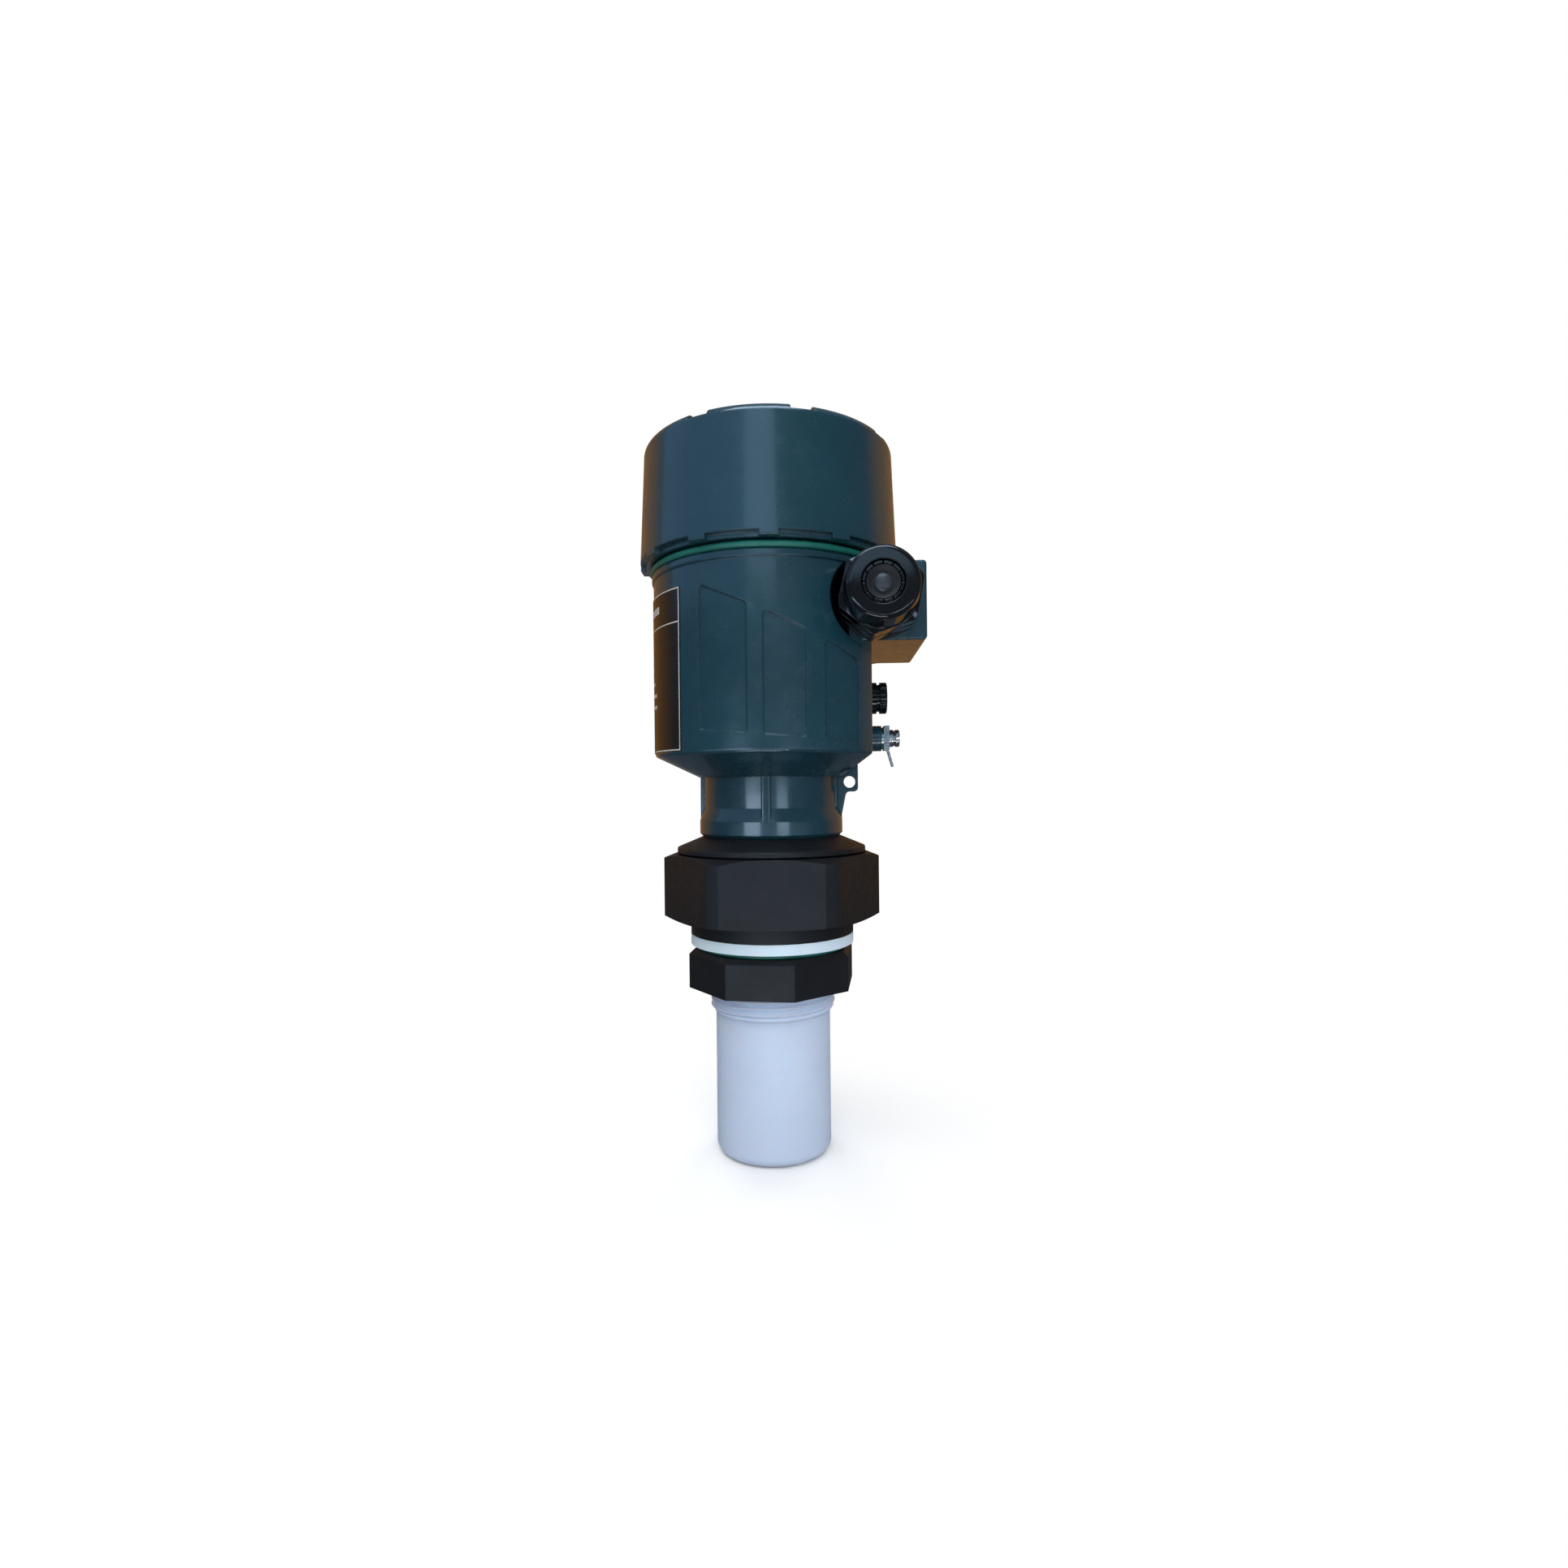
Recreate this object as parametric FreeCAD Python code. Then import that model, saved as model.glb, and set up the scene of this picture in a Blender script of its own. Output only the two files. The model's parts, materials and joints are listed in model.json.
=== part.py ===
# Ultrasonic level transmitter: a die-cast head with a screw lid on a threaded probe.
# Millimetres. The origin is on the axis at the sealing plane, the underside of the
# hexagon fitting's flange. +Z points up to the lid. The cable entry block is on +X,
# the front gland points to -Y, and the label faces -X.
# A bearing is an angle about +Z that is 0 at -Y and 90 at +X.
import FreeCAD, Part
import math
import os

from FreeCAD import Vector

# Clearances
RUNNING_GAP = 0.05
SEAT_GAP = 0.05
SOFT_GAP = 0.3
THREAD_GAP = 0.35

# Probe
THREAD_RADIUS = 23.9
THREAD_BELOW_SEAT = 30.2
THREAD_IN_FITTING = 24.0
THREAD_END_BEVEL = 1.3
BARREL_RADIUS = 22.0
PROBE_DEPTH = 83.3
PROBE_EDGE_ROUND = 3.5
PROBE_WALL = 4.0
PROBE_FLOOR = 5.0
PROBE_TOP_ROOM = 0.5

# Transducer in the probe
MATCHING_THICKNESS = 4.0
PIEZO_RADIUS = 16.0
PIEZO_THICKNESS = 8.0
BACKING_THICKNESS = 16.0
LEAD_RADIUS = 2.2

# Hexagon fitting
FLANGE_RADIUS = 31.3
FLANGE_THICKNESS = 5.6
HEX_ACROSS_FLATS = 74.2
HEX_HEIGHT = 24.6
HEX_CORNER_TRIM = 1.4
HEX_TOP_DROP = 1.7
HEX_LOW_DROP = 0.8
HEX_BEARING = 4.0

# Washer, sealing ring and lock nut under the flange
WASHER_THICKNESS = 3.95
FLANGE_RING_SECTION = 1.7
FLANGE_RING_INSET = 2.6
NUT_ACROSS_FLATS = 60.0
NUT_HEIGHT = 14.4
NUT_BEVEL = 1.7
NUT_BEARING = -5.0
NUT_SIDES = 8

# Collar between the fitting and the neck
COLLAR_RADIUS = 36.2
COLLAR_RIM = 1.8
COLLAR_RIM_ROUND = 0.7
COLLAR_TOP_RADIUS = 26.5
COLLAR_RISE = 4.0
COLLAR_SHADOW_GAP = 0.6
COLLAR_LAND_INSET = 3.5
COLLAR_SPIGOT_RADIUS = 21.5
COLLAR_SPIGOT_HEIGHT = 14.0
COLLAR_TAIL_RADIUS = 17.0
COLLAR_TAIL_DEPTH = 6.0
COLLAR_BORE_RADIUS = 9.0
NECK_RING_SECTION = 2.2
NECK_RING_HEIGHT = 7.0

# Neck and body of the housing
NECK_LENGTH = 22.6
NECK_BAND_RADIUS = 27.5
NECK_BAND_HEIGHT = 6.3
NECK_BAND_BEVEL = 1.3
NECK_WAIST_INSET = 1.9
NECK_FLARE_HEIGHT = 4.7
NECK_RIB_WIDTH = 3.5
NECK_RIB_COUNT = 4
NECK_RIB_SETBACK = 0.1
NECK_RIB_EDGE_ROUND = 0.7
NECK_PASSAGE_RADIUS = 12.0
SHOULDER_CONE_RISE = 8.0
BODY_RADIUS = 44.2
BODY_DRAFT = 0.1
BODY_EDGE_ROUND = 1.6
BODY_HEIGHT = 65.3
LIP_PROUD = 0.6
LIP_HEIGHT = 2.9
LIP_ROUND = 0.9
LIP_LOW_ROUND = 0.45
HOUSING_WALL = 3.6
HOUSING_FLOOR = 4.0
SPIGOT_INSET = 1.2
SPIGOT_HEIGHT = 18.0
FLAT_INSET = 6.0
FLAT_EDGE_ROUND = 2.0

# Recessed panels on both sides of the body
PANEL_BEARINGS = (-17.7, 10.5, 39.3)
PANEL_WIDTHS_DEG = (22.7, 18.9, 19.8)
PANEL_DEPTH = 0.6
PANEL_TOP_BELOW_LIP = 20.7
PANEL_TOP_FALL_PER_DEG = 0.333
PANEL_LOW_RISE = 5.5
PANEL_LOW_FALL_PER_DEG = 0.061
PANEL_CORNER_ROUND = 1.2

# Cable entry block
ENTRY_FROM_FLAT = 2.2
ENTRY_BELOW_SHOULDER = 14.7
BLOCK_BEYOND_ENTRY = 17.0
BLOCK_HEIGHT = 28.0
BLOCK_HALF_DEPTH = 27.5
BLOCK_EDGE_ROUND = 1.4
BLOCK_RIM_ROUND = 0.7
SPOT_FACE_RADIUS = 17.0
LIP_RELIEF_RADIUS = 15.4
ENTRY_HOLE_RADIUS = 10.0
ENTRY_BOSS_RADIUS = 13.0
ENTRY_BOSS_LENGTH = 12.5
ENTRY_POCKET_HEIGHT = 20.0
BLOCK_WALL = 4.0

# Seal lug beside the neck
LUG_THICKNESS = 4.0
LUG_REACH_FROM_BAND = 6.1
LUG_BELOW_NECK_TOP = 5.9
LUG_ROOT_ABOVE_NECK_LOW = 8.6
LUG_HOLE_FROM_BAND = 2.9
LUG_HOLE_BELOW_NECK_TOP = 2.2
LUG_HOLE_RADIUS = 2.25
LUG_CORNER_ROUND = 1.6
DIMPLE_BEARING = 63.0
DIMPLE_FROM_BAND = 4.3
DIMPLE_RADIUS = 2.2
DIMPLE_DEPTH = 2.5

# Lid
LID_HEIGHT = 44.8
LID_SKIRT = 6.2
LID_DRAFT = 1.9
LID_EDGE_ROUND = 3.2
LID_SMALL_ROUND = 0.55
LID_WALL = 3.7
LID_THREAD_LENGTH = 17.0
LID_RIM_WIDTH = 8.0
LID_DISH_DEPTH = 3.0
LID_ROOF = 3.5
LID_SEAT_WALL = 4.0
LID_RING_SECTION = 2.4
NOTCH_COUNT = 8
NOTCH_BEARING = 18.4
NOTCH_WIDTH = 8.2
NOTCH_DEPTH = 2.2
TAB_COUNT = 12
TAB_BEARING = 4.2
TAB_WIDTH = 6.6
POCKET_HEIGHT = 1.9
POCKET_DEPTH = 2.2

# Window in the lid
GLASS_INSET = 10.2
GLASS_LAND = 4.5
GLASS_THICKNESS = 6.0
GASKET_THICKNESS = 1.0
RETAINER_HEIGHT = 5.0
RETAINER_SLOT_WIDTH = 4.0
RETAINER_SLOT_DEPTH = 2.0
RETAINER_SLOT_COUNT = 2

# Electronics in the head
BOARD_DROP = 7.5
BOARD_THICKNESS = 1.6
BOARD_EDGE_ROOM = 1.2
BOARD_FLAT_X = 25.0
PILLAR_RADIUS = 4.5
PILLAR_INSET = 4.4
PILLAR_BEARINGS = (30.0, 150.0, 270.0)
MODULE_VENT_ROOM = 2.5
MODULE_HEIGHT = 40.0
SCREW_RADIUS = 1.5
SCREW_HEAD_RADIUS = 2.8
SCREW_HEAD_HEIGHT = 2.0
SCREW_LENGTH = 8.0
TERMINAL_DEPTH = 14.0
TERMINAL_WIDTH = 38.0
TERMINAL_HEIGHT = 12.0
TERMINAL_POLES = 6
TERMINAL_SCREW_RADIUS = 1.9
TERMINAL_SCREW_SINK = 1.0
TERMINAL_SCREW_LENGTH = 3.0
TERMINAL_SLOT_WIDTH = 0.9
TERMINAL_WIRE_HEIGHT = 4.0
TERMINAL_WIRE_RADIUS = 1.7
TERMINAL_EDGE_GAP = 1.0

# Display over the electronics
STANDOFF_ACROSS_FLATS = 5.0
STANDOFF_DISTANCE = 24.0
STANDOFF_BEARINGS = (0.0, 180.0, 270.0)
STANDOFF_HEIGHT = 20.0
BEZEL_RADIUS = 30.5
BEZEL_WALL = 2.0
BEZEL_LEDGE = 1.5
BEZEL_SKIRT = 1.5
BEZEL_SKIN = 2.0
BEZEL_EDGE_ROUND = 1.5
LCD_WIDTH = 38.0
LCD_DEPTH = 22.0
LCD_HEIGHT = 8.4
LCD_CENTRE_Y = 5.0
LCD_FRAME = 2.5
KEY_RADIUS = 3.2
KEY_FLANGE = 0.9
KEY_FLANGE_HEIGHT = 1.2
KEY_PROUD = 1.2
KEY_EDGE_ROUND = 0.65
KEY_STEM_RADIUS = 1.6
KEY_TRAVEL = 0.8
KEY_STOP_ROOM = 0.1
KEY_PITCH = 9.6
KEY_ROW_Y = -16.5
KEY_COUNT = 4
SWITCH_SIDE = 6.0
SWITCH_HEIGHT = 2.0

# Cable gland and the plug in the other entry
GLAND_WASHER_RADIUS = 14.0
GLAND_WASHER_THICKNESS = 1.2
GLAND_HEX_ACROSS_FLATS = 26.6
GLAND_HEX_HEIGHT = 6.5
GLAND_HEX_TURN = -11.0
GLAND_HEX_TRIM = 0.4
GLAND_THREAD_LENGTH = 10.0
GLAND_NECK_RADIUS = 9.6
GLAND_BORE_RADIUS = 5.8
GLAND_LENGTH = 26.9
GLAND_NUT_GAP = 1.0
GLAND_NUT_HEX_HEIGHT = 7.3
GLAND_DOME_RADIUS = 13.0
GLAND_DOME_FRONT_RADIUS = 12.0
GLAND_DOME_ROUND = 1.8
GLAND_MOUTH_RADIUS = 7.2
GLAND_MOUTH_LENGTH = 2.0
GLAND_CONE_LENGTH = 4.5
FINGER_COUNT = 12
FINGER_SLIT_WIDTH = 0.4
FINGER_SETBACK = 0.8
FINGER_TIP_WALL = 1.0
SEAL_LENGTH = 12.0
SEAL_DISH_DEPTH = 1.6
DUST_PLUG_RADIUS = 2.8
DUST_PLUG_HEAD_RADIUS = 3.3
DUST_PLUG_LENGTH = 9.0
PLUG_HEX_ACROSS_FLATS = 24.0
PLUG_HEAD_HEIGHT = 6.0
PLUG_SLOT_WIDTH = 2.5
PLUG_SLOT_DEPTH = 2.0

# Vent on the flat
VENT_RISE = 21.9
VENT_RADIUS = 6.0
VENT_HEIGHT = 6.7
VENT_EDGE_ROUND = 0.6
VENT_GROOVE_WIDTH = 1.2
VENT_GROOVE_DEPTH = 0.8
VENT_SHANK_RADIUS = 4.0
VENT_SHANK_LENGTH = 8.0
VENT_RING_SECTION = 1.6
VENT_RING_RADIUS = 5.1
VENT_FLUTE_COUNT = 6
VENT_FLUTE_RADIUS = 0.8

# Outer earth terminal on the flat
GROUND_RISE = 6.4
GROUND_BOSS_RADIUS = 4.9
GROUND_BOSS_HEIGHT = 4.5
GROUND_SCREW_RADIUS = 2.0
GROUND_HOLE_DEPTH = 7.0
GROUND_HOLE_ROOM = 1.0
SPRING_WASHER_RADIUS = 4.2
SPRING_WASHER_THICKNESS = 0.8
CLAMP_SIDE = 9.2
CLAMP_THICKNESS = 2.1
CLAMP_TAB_LENGTH = 6.5
CLAMP_TAB_WIDTH = 4.0
CLAMP_TAB_THICKNESS = 0.8
CLAMP_TAB_LEAN = 16.0
GROUND_HEAD_RADIUS = 3.3
GROUND_HEAD_HEIGHT = 4.0
GROUND_HEAD_GROOVE = 0.5
GROUND_SLOT_WIDTH = 1.0
GROUND_SLOT_DEPTH = 1.4

# Label
LABEL_WIDTH_DEG = 98.0
LABEL_BEARING = -90.0
LABEL_LOW_RISE = 1.2
LABEL_TOP_BELOW_LIP = 6.8
LABEL_THICKNESS = 0.25
LABEL_GLUE = 0.03

# Heights that follow from the stack
HEX_TOP_Z = FLANGE_THICKNESS + HEX_HEIGHT
COLLAR_LOW_Z = HEX_TOP_Z + COLLAR_SHADOW_GAP
NECK_LOW_Z = COLLAR_LOW_Z + COLLAR_RIM + COLLAR_RISE
NECK_TOP_Z = NECK_LOW_Z + NECK_LENGTH
BODY_LOW_Z = NECK_TOP_Z + SHOULDER_CONE_RISE
LIP_LOW_Z = BODY_LOW_Z + BODY_HEIGHT
SHOULDER_Z = LIP_LOW_Z + LIP_HEIGHT
SPIGOT_TOP_Z = SHOULDER_Z + SPIGOT_HEIGHT

# Radii and heights that follow from the body and the neck
NECK_WAIST_RADIUS = NECK_BAND_RADIUS - NECK_WAIST_INSET
LUG_REACH = NECK_BAND_RADIUS + LUG_REACH_FROM_BAND
LUG_LOW_Z = NECK_TOP_Z - LUG_BELOW_NECK_TOP
LUG_ROOT_Z = NECK_LOW_Z + LUG_ROOT_ABOVE_NECK_LOW
LUG_HOLE_X = NECK_BAND_RADIUS + LUG_HOLE_FROM_BAND
LUG_HOLE_Z = NECK_TOP_Z - LUG_HOLE_BELOW_NECK_TOP
DIMPLE_DISTANCE = NECK_BAND_RADIUS + DIMPLE_FROM_BAND
LIP_RADIUS = BODY_RADIUS + BODY_DRAFT + LIP_PROUD
SPIGOT_RADIUS = BODY_RADIUS - SPIGOT_INSET
FLAT_X = BODY_RADIUS - FLAT_INSET
ENTRY_X = FLAT_X + ENTRY_FROM_FLAT
ENTRY_Z = SHOULDER_Z - ENTRY_BELOW_SHOULDER
BLOCK_REACH = ENTRY_X + BLOCK_BEYOND_ENTRY
PANEL_TOP_Z = LIP_LOW_Z - PANEL_TOP_BELOW_LIP
PANEL_LOW_Z = BODY_LOW_Z + PANEL_LOW_RISE
VENT_Z = BODY_LOW_Z + VENT_RISE
GROUND_Z = BODY_LOW_Z + GROUND_RISE
LABEL_LOW_Z = BODY_LOW_Z + LABEL_LOW_RISE
LABEL_TOP_Z = LIP_LOW_Z - LABEL_TOP_BELOW_LIP
CAVITY_RADIUS = BODY_RADIUS - HOUSING_WALL
CAVITY_FLOOR_Z = BODY_LOW_Z + HOUSING_FLOOR

# Lid, window and electronics
LID_LOW_RADIUS = SPIGOT_RADIUS + LID_SKIRT
LID_TOP_RADIUS = LID_LOW_RADIUS - LID_DRAFT
GLASS_RADIUS = LID_TOP_RADIUS - LID_WALL - GLASS_INSET
WINDOW_RADIUS = GLASS_RADIUS - GLASS_LAND
LID_LOW_Z = SHOULDER_Z + LID_RING_SECTION + SEAT_GAP + THREAD_GAP
LID_TOP_Z = LID_LOW_Z + LID_HEIGHT
DISH_Z = LID_TOP_Z - LID_DISH_DEPTH
ROOF_LOW_Z = DISH_Z - LID_ROOF
GLASS_TOP_Z = ROOF_LOW_Z - GASKET_THICKNESS
GLASS_LOW_Z = GLASS_TOP_Z - GLASS_THICKNESS
RETAINER_LOW_Z = GLASS_LOW_Z - RETAINER_HEIGHT
BOARD_Z = SHOULDER_Z - BOARD_DROP
BOARD_TOP_Z = BOARD_Z + BOARD_THICKNESS
DISPLAY_BOARD_Z = BOARD_TOP_Z + STANDOFF_HEIGHT
DISPLAY_BOARD_TOP_Z = DISPLAY_BOARD_Z + BOARD_THICKNESS
BEZEL_SKIN_Z = DISPLAY_BOARD_TOP_Z + LCD_HEIGHT

# Nut, electronics module and transducer
NUT_TOP_Z = -(WASHER_THICKNESS + FLANGE_RING_SECTION + 2 * SEAT_GAP)
MODULE_LOW_Z = BOARD_Z - MODULE_HEIGHT
MODULE_RADIUS = FLAT_X - VENT_SHANK_LENGTH - MODULE_VENT_ROOM
BACKING_TOP_Z = -PROBE_DEPTH + PROBE_FLOOR + MATCHING_THICKNESS + PIEZO_THICKNESS + BACKING_THICKNESS

ORIGIN = Vector(0, 0, 0)
X_AXIS = Vector(1, 0, 0)
Y_AXIS = Vector(0, 1, 0)
Z_AXIS = Vector(0, 0, 1)
FULL_TURN = 360.0
HEX_SIDES = 6
BEYOND = 200.0
OVERSHOOT = 1.0
MERGE_DISTANCE = 1e-6


def bearing_vector(bearing, distance=1.0, height=0.0):
    """Point at a bearing, a distance from the axis and a height."""
    angle = math.radians(bearing)
    return Vector(distance * math.sin(angle), -distance * math.cos(angle), height)


def rounded_corner(before, corner, after, radius):
    """Start, middle and end of the arc that rounds one corner."""
    back = (before - corner).normalize()
    ahead = (after - corner).normalize()
    half = back.getAngle(ahead) / 2
    run = radius / math.tan(half)
    inward = (back + ahead).normalize()
    middle = corner + inward * (radius / math.sin(half) - radius)
    return corner + back * run, middle, corner + ahead * run


def profile_face(corners):
    """Flat face in the XZ plane through (x, z) corners; a third value rounds a corner."""
    points = [Vector(corner[0], 0, corner[1]) for corner in corners]
    turns = []
    for index, corner in enumerate(corners):
        point = points[index]
        if len(corner) == 3:
            following = points[(index + 1) % len(points)]
            turns.append(rounded_corner(points[index - 1], point, following, corner[2]))
        else:
            turns.append((point, None, point))
    edges = []
    for index, (start, middle, end) in enumerate(turns):
        if middle:
            edges.append(Part.Arc(start, middle, end).toShape())
        next_start = turns[(index + 1) % len(turns)][0]
        if end.distanceToPoint(next_start) > MERGE_DISTANCE:
            edges.append(Part.LineSegment(end, next_start).toShape())
    return Part.Face(Part.Wire(edges))


def turned(corners, start_bearing=90.0, sweep=FULL_TURN):
    """Solid of revolution about Z of a profile of (radius, z) corners."""
    face = profile_face(corners)
    face.rotate(ORIGIN, Z_AXIS, start_bearing - 90.0)
    return face.revolve(ORIGIN, Z_AXIS, sweep)


def extruded(corners, low_y, high_y):
    """Prism along Y of an XZ profile."""
    face = profile_face(corners)
    face.translate(Vector(0, low_y, 0))
    return face.extrude(Vector(0, high_y - low_y, 0))


def cylinder(radius, low, high, x=0.0, y=0.0):
    return Part.makeCylinder(radius, high - low, Vector(x, y, low), Z_AXIS)


def ring(outer, inner, low, high):
    return cylinder(outer, low, high).cut(cylinder(inner, low - OVERSHOOT, high + OVERSHOOT))


def box(x_span, y_span, z_span):
    size = (x_span[1] - x_span[0], y_span[1] - y_span[0], z_span[1] - z_span[0])
    return Part.makeBox(*size, Vector(x_span[0], y_span[0], z_span[0]))


def o_ring(centre_radius, section, height):
    return Part.makeTorus(centre_radius, section / 2, Vector(0, 0, height), Z_AXIS)


def prism(sides, across_flats, low, high, turn=0.0):
    """Upright prism with one face normal at the polar angle turn."""
    corner_radius = across_flats / 2 / math.cos(math.pi / sides)
    corners = []
    for index in range(sides):
        angle = math.radians(turn) + (2 * index + 1) * math.pi / sides
        offset = Vector(math.cos(angle), math.sin(angle), 0) * corner_radius
        corners.append(Vector(0, 0, low) + offset)
    face = Part.Face(Part.makePolygon(corners + corners[:1]))
    return face.extrude(Vector(0, 0, high - low))


def aimed(shape, place, direction):
    """Copy of a shape made along +Z, moved to a place and turned to a direction."""
    copy = shape.copy()
    copy.Placement = FreeCAD.Placement(place, FreeCAD.Rotation(Z_AXIS, direction))
    return copy


def around(shape, count, first_bearing):
    """Copies of a shape that lies towards -Y, spread evenly about the axis."""
    copies = []
    for index in range(count):
        copy = shape.copy()
        copy.rotate(ORIGIN, Z_AXIS, first_bearing + index * FULL_TURN / count)
        copies.append(copy)
    return copies


def group(shapes):
    return Part.makeCompound(shapes)


# Probe and transducer

def probe_shell():
    bevel_end = -(THREAD_BELOW_SEAT + THREAD_END_BEVEL)
    cavity_radius = BARREL_RADIUS - PROBE_WALL
    return turned([
        (cavity_radius, THREAD_IN_FITTING),
        (THREAD_RADIUS, THREAD_IN_FITTING),
        (THREAD_RADIUS, -THREAD_BELOW_SEAT),
        (BARREL_RADIUS, bevel_end),
        (BARREL_RADIUS, -PROBE_DEPTH, PROBE_EDGE_ROUND),
        (0, -PROBE_DEPTH),
        (0, -PROBE_DEPTH + PROBE_FLOOR),
        (cavity_radius, -PROBE_DEPTH + PROBE_FLOOR),
    ])


def transducer_stack():
    """Matching layer, piezo disc and backing block, from the probe's floor up."""
    fill_radius = BARREL_RADIUS - PROBE_WALL - SOFT_GAP
    matching_low = -PROBE_DEPTH + PROBE_FLOOR
    piezo_low = matching_low + MATCHING_THICKNESS
    backing_low = piezo_low + PIEZO_THICKNESS
    return {
        "matching_layer": cylinder(fill_radius, matching_low, piezo_low),
        "piezo_disc": cylinder(PIEZO_RADIUS, piezo_low, backing_low),
        "backing_block": cylinder(fill_radius, backing_low, BACKING_TOP_Z),
    }


def probe_lead():
    return cylinder(LEAD_RADIUS, BACKING_TOP_Z, MODULE_LOW_Z)


# Fitting, washer, ring, nut and collar

def hex_fitting():
    apothem = HEX_ACROSS_FLATS / 2
    corner_radius = apothem / math.cos(math.pi / HEX_SIDES) - HEX_CORNER_TRIM
    blank = turned([
        (0, FLANGE_THICKNESS),
        (apothem, FLANGE_THICKNESS),
        (corner_radius, FLANGE_THICKNESS + HEX_LOW_DROP),
        (corner_radius, HEX_TOP_Z - HEX_TOP_DROP),
        (apothem, HEX_TOP_Z),
        (0, HEX_TOP_Z),
    ])
    turn = HEX_BEARING - 90
    hexagon = prism(HEX_SIDES, HEX_ACROSS_FLATS, FLANGE_THICKNESS, HEX_TOP_Z, turn).common(blank)
    flange = cylinder(FLANGE_RADIUS, 0, FLANGE_THICKNESS)
    land = cylinder(COLLAR_RADIUS - COLLAR_LAND_INSET, HEX_TOP_Z, COLLAR_LOW_Z)
    thread_bore = cylinder(
        THREAD_RADIUS + RUNNING_GAP, -OVERSHOOT, THREAD_IN_FITTING + PROBE_TOP_ROOM
    )
    tail_bore = cylinder(COLLAR_TAIL_RADIUS + RUNNING_GAP, 0, COLLAR_LOW_Z + OVERSHOOT)
    return hexagon.fuse([flange, land]).cut([thread_bore, tail_bore]).removeSplitter()


def flange_washer():
    return ring(FLANGE_RADIUS, THREAD_RADIUS + SOFT_GAP, -WASHER_THICKNESS, -SEAT_GAP)


def flange_o_ring():
    section_radius = FLANGE_RING_SECTION / 2
    centre_radius = FLANGE_RADIUS - FLANGE_RING_INSET - section_radius
    return o_ring(centre_radius, FLANGE_RING_SECTION, -WASHER_THICKNESS - SEAT_GAP - section_radius)


def lock_nut():
    low = NUT_TOP_Z - NUT_HEIGHT
    turn = NUT_BEARING - 90
    bevel_low = NUT_TOP_Z - NUT_BEVEL
    sides = prism(NUT_SIDES, NUT_ACROSS_FLATS, low, bevel_low, turn)
    wide = prism(NUT_SIDES, NUT_ACROSS_FLATS, bevel_low, NUT_TOP_Z, turn)
    narrow = prism(NUT_SIDES, NUT_ACROSS_FLATS - 2 * NUT_BEVEL, bevel_low, NUT_TOP_Z, turn)
    low_face = min(wide.Faces, key=lambda face: face.CenterOfMass.z)
    top_face = max(narrow.Faces, key=lambda face: face.CenterOfMass.z)
    bevel = Part.makeLoft([low_face.OuterWire, top_face.OuterWire], True, True)
    bore = cylinder(THREAD_RADIUS + RUNNING_GAP, low - OVERSHOOT, NUT_TOP_Z + OVERSHOOT)
    return sides.fuse(bevel).cut(bore).removeSplitter()


def neck_collar():
    rim_top = COLLAR_LOW_Z + COLLAR_RIM
    groove_radius = COLLAR_SPIGOT_RADIUS - NECK_RING_SECTION - SEAT_GAP
    groove_low = NECK_LOW_Z + NECK_RING_HEIGHT - NECK_RING_SECTION / 2 - SEAT_GAP
    groove_top = groove_low + NECK_RING_SECTION + 2 * SEAT_GAP
    return turned([
        (COLLAR_BORE_RADIUS, COLLAR_LOW_Z - COLLAR_TAIL_DEPTH),
        (COLLAR_TAIL_RADIUS, COLLAR_LOW_Z - COLLAR_TAIL_DEPTH),
        (COLLAR_TAIL_RADIUS, COLLAR_LOW_Z),
        (COLLAR_RADIUS, COLLAR_LOW_Z),
        (COLLAR_RADIUS, rim_top, COLLAR_RIM_ROUND),
        (COLLAR_TOP_RADIUS, NECK_LOW_Z),
        (COLLAR_SPIGOT_RADIUS, NECK_LOW_Z),
        (COLLAR_SPIGOT_RADIUS, groove_low),
        (groove_radius, groove_low),
        (groove_radius, groove_top),
        (COLLAR_SPIGOT_RADIUS, groove_top),
        (COLLAR_SPIGOT_RADIUS, NECK_LOW_Z + COLLAR_SPIGOT_HEIGHT),
        (COLLAR_BORE_RADIUS, NECK_LOW_Z + COLLAR_SPIGOT_HEIGHT),
    ])


def neck_o_ring():
    centre_radius = COLLAR_SPIGOT_RADIUS - NECK_RING_SECTION / 2
    return o_ring(centre_radius, NECK_RING_SECTION, NECK_LOW_Z + NECK_RING_HEIGHT)


# Housing

def body_radius_at(z):
    return BODY_RADIUS + BODY_DRAFT * (z - BODY_LOW_Z) / BODY_HEIGHT


def housing_outside():
    band_top = NECK_LOW_Z + NECK_BAND_HEIGHT
    return turned([
        (0, NECK_LOW_Z),
        (NECK_BAND_RADIUS - NECK_BAND_BEVEL, NECK_LOW_Z),
        (NECK_BAND_RADIUS, NECK_LOW_Z + NECK_BAND_BEVEL),
        (NECK_BAND_RADIUS, band_top),
        (NECK_WAIST_RADIUS, band_top + NECK_FLARE_HEIGHT),
        (NECK_WAIST_RADIUS, NECK_TOP_Z),
        (NECK_BAND_RADIUS, NECK_TOP_Z),
        (BODY_RADIUS, BODY_LOW_Z, BODY_EDGE_ROUND),
        (BODY_RADIUS + BODY_DRAFT, LIP_LOW_Z),
        (LIP_RADIUS, LIP_LOW_Z, LIP_LOW_ROUND),
        (LIP_RADIUS, SHOULDER_Z, LIP_ROUND),
        (SPIGOT_RADIUS, SHOULDER_Z),
        (SPIGOT_RADIUS, SPIGOT_TOP_Z),
        (0, SPIGOT_TOP_Z),
    ])


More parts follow.
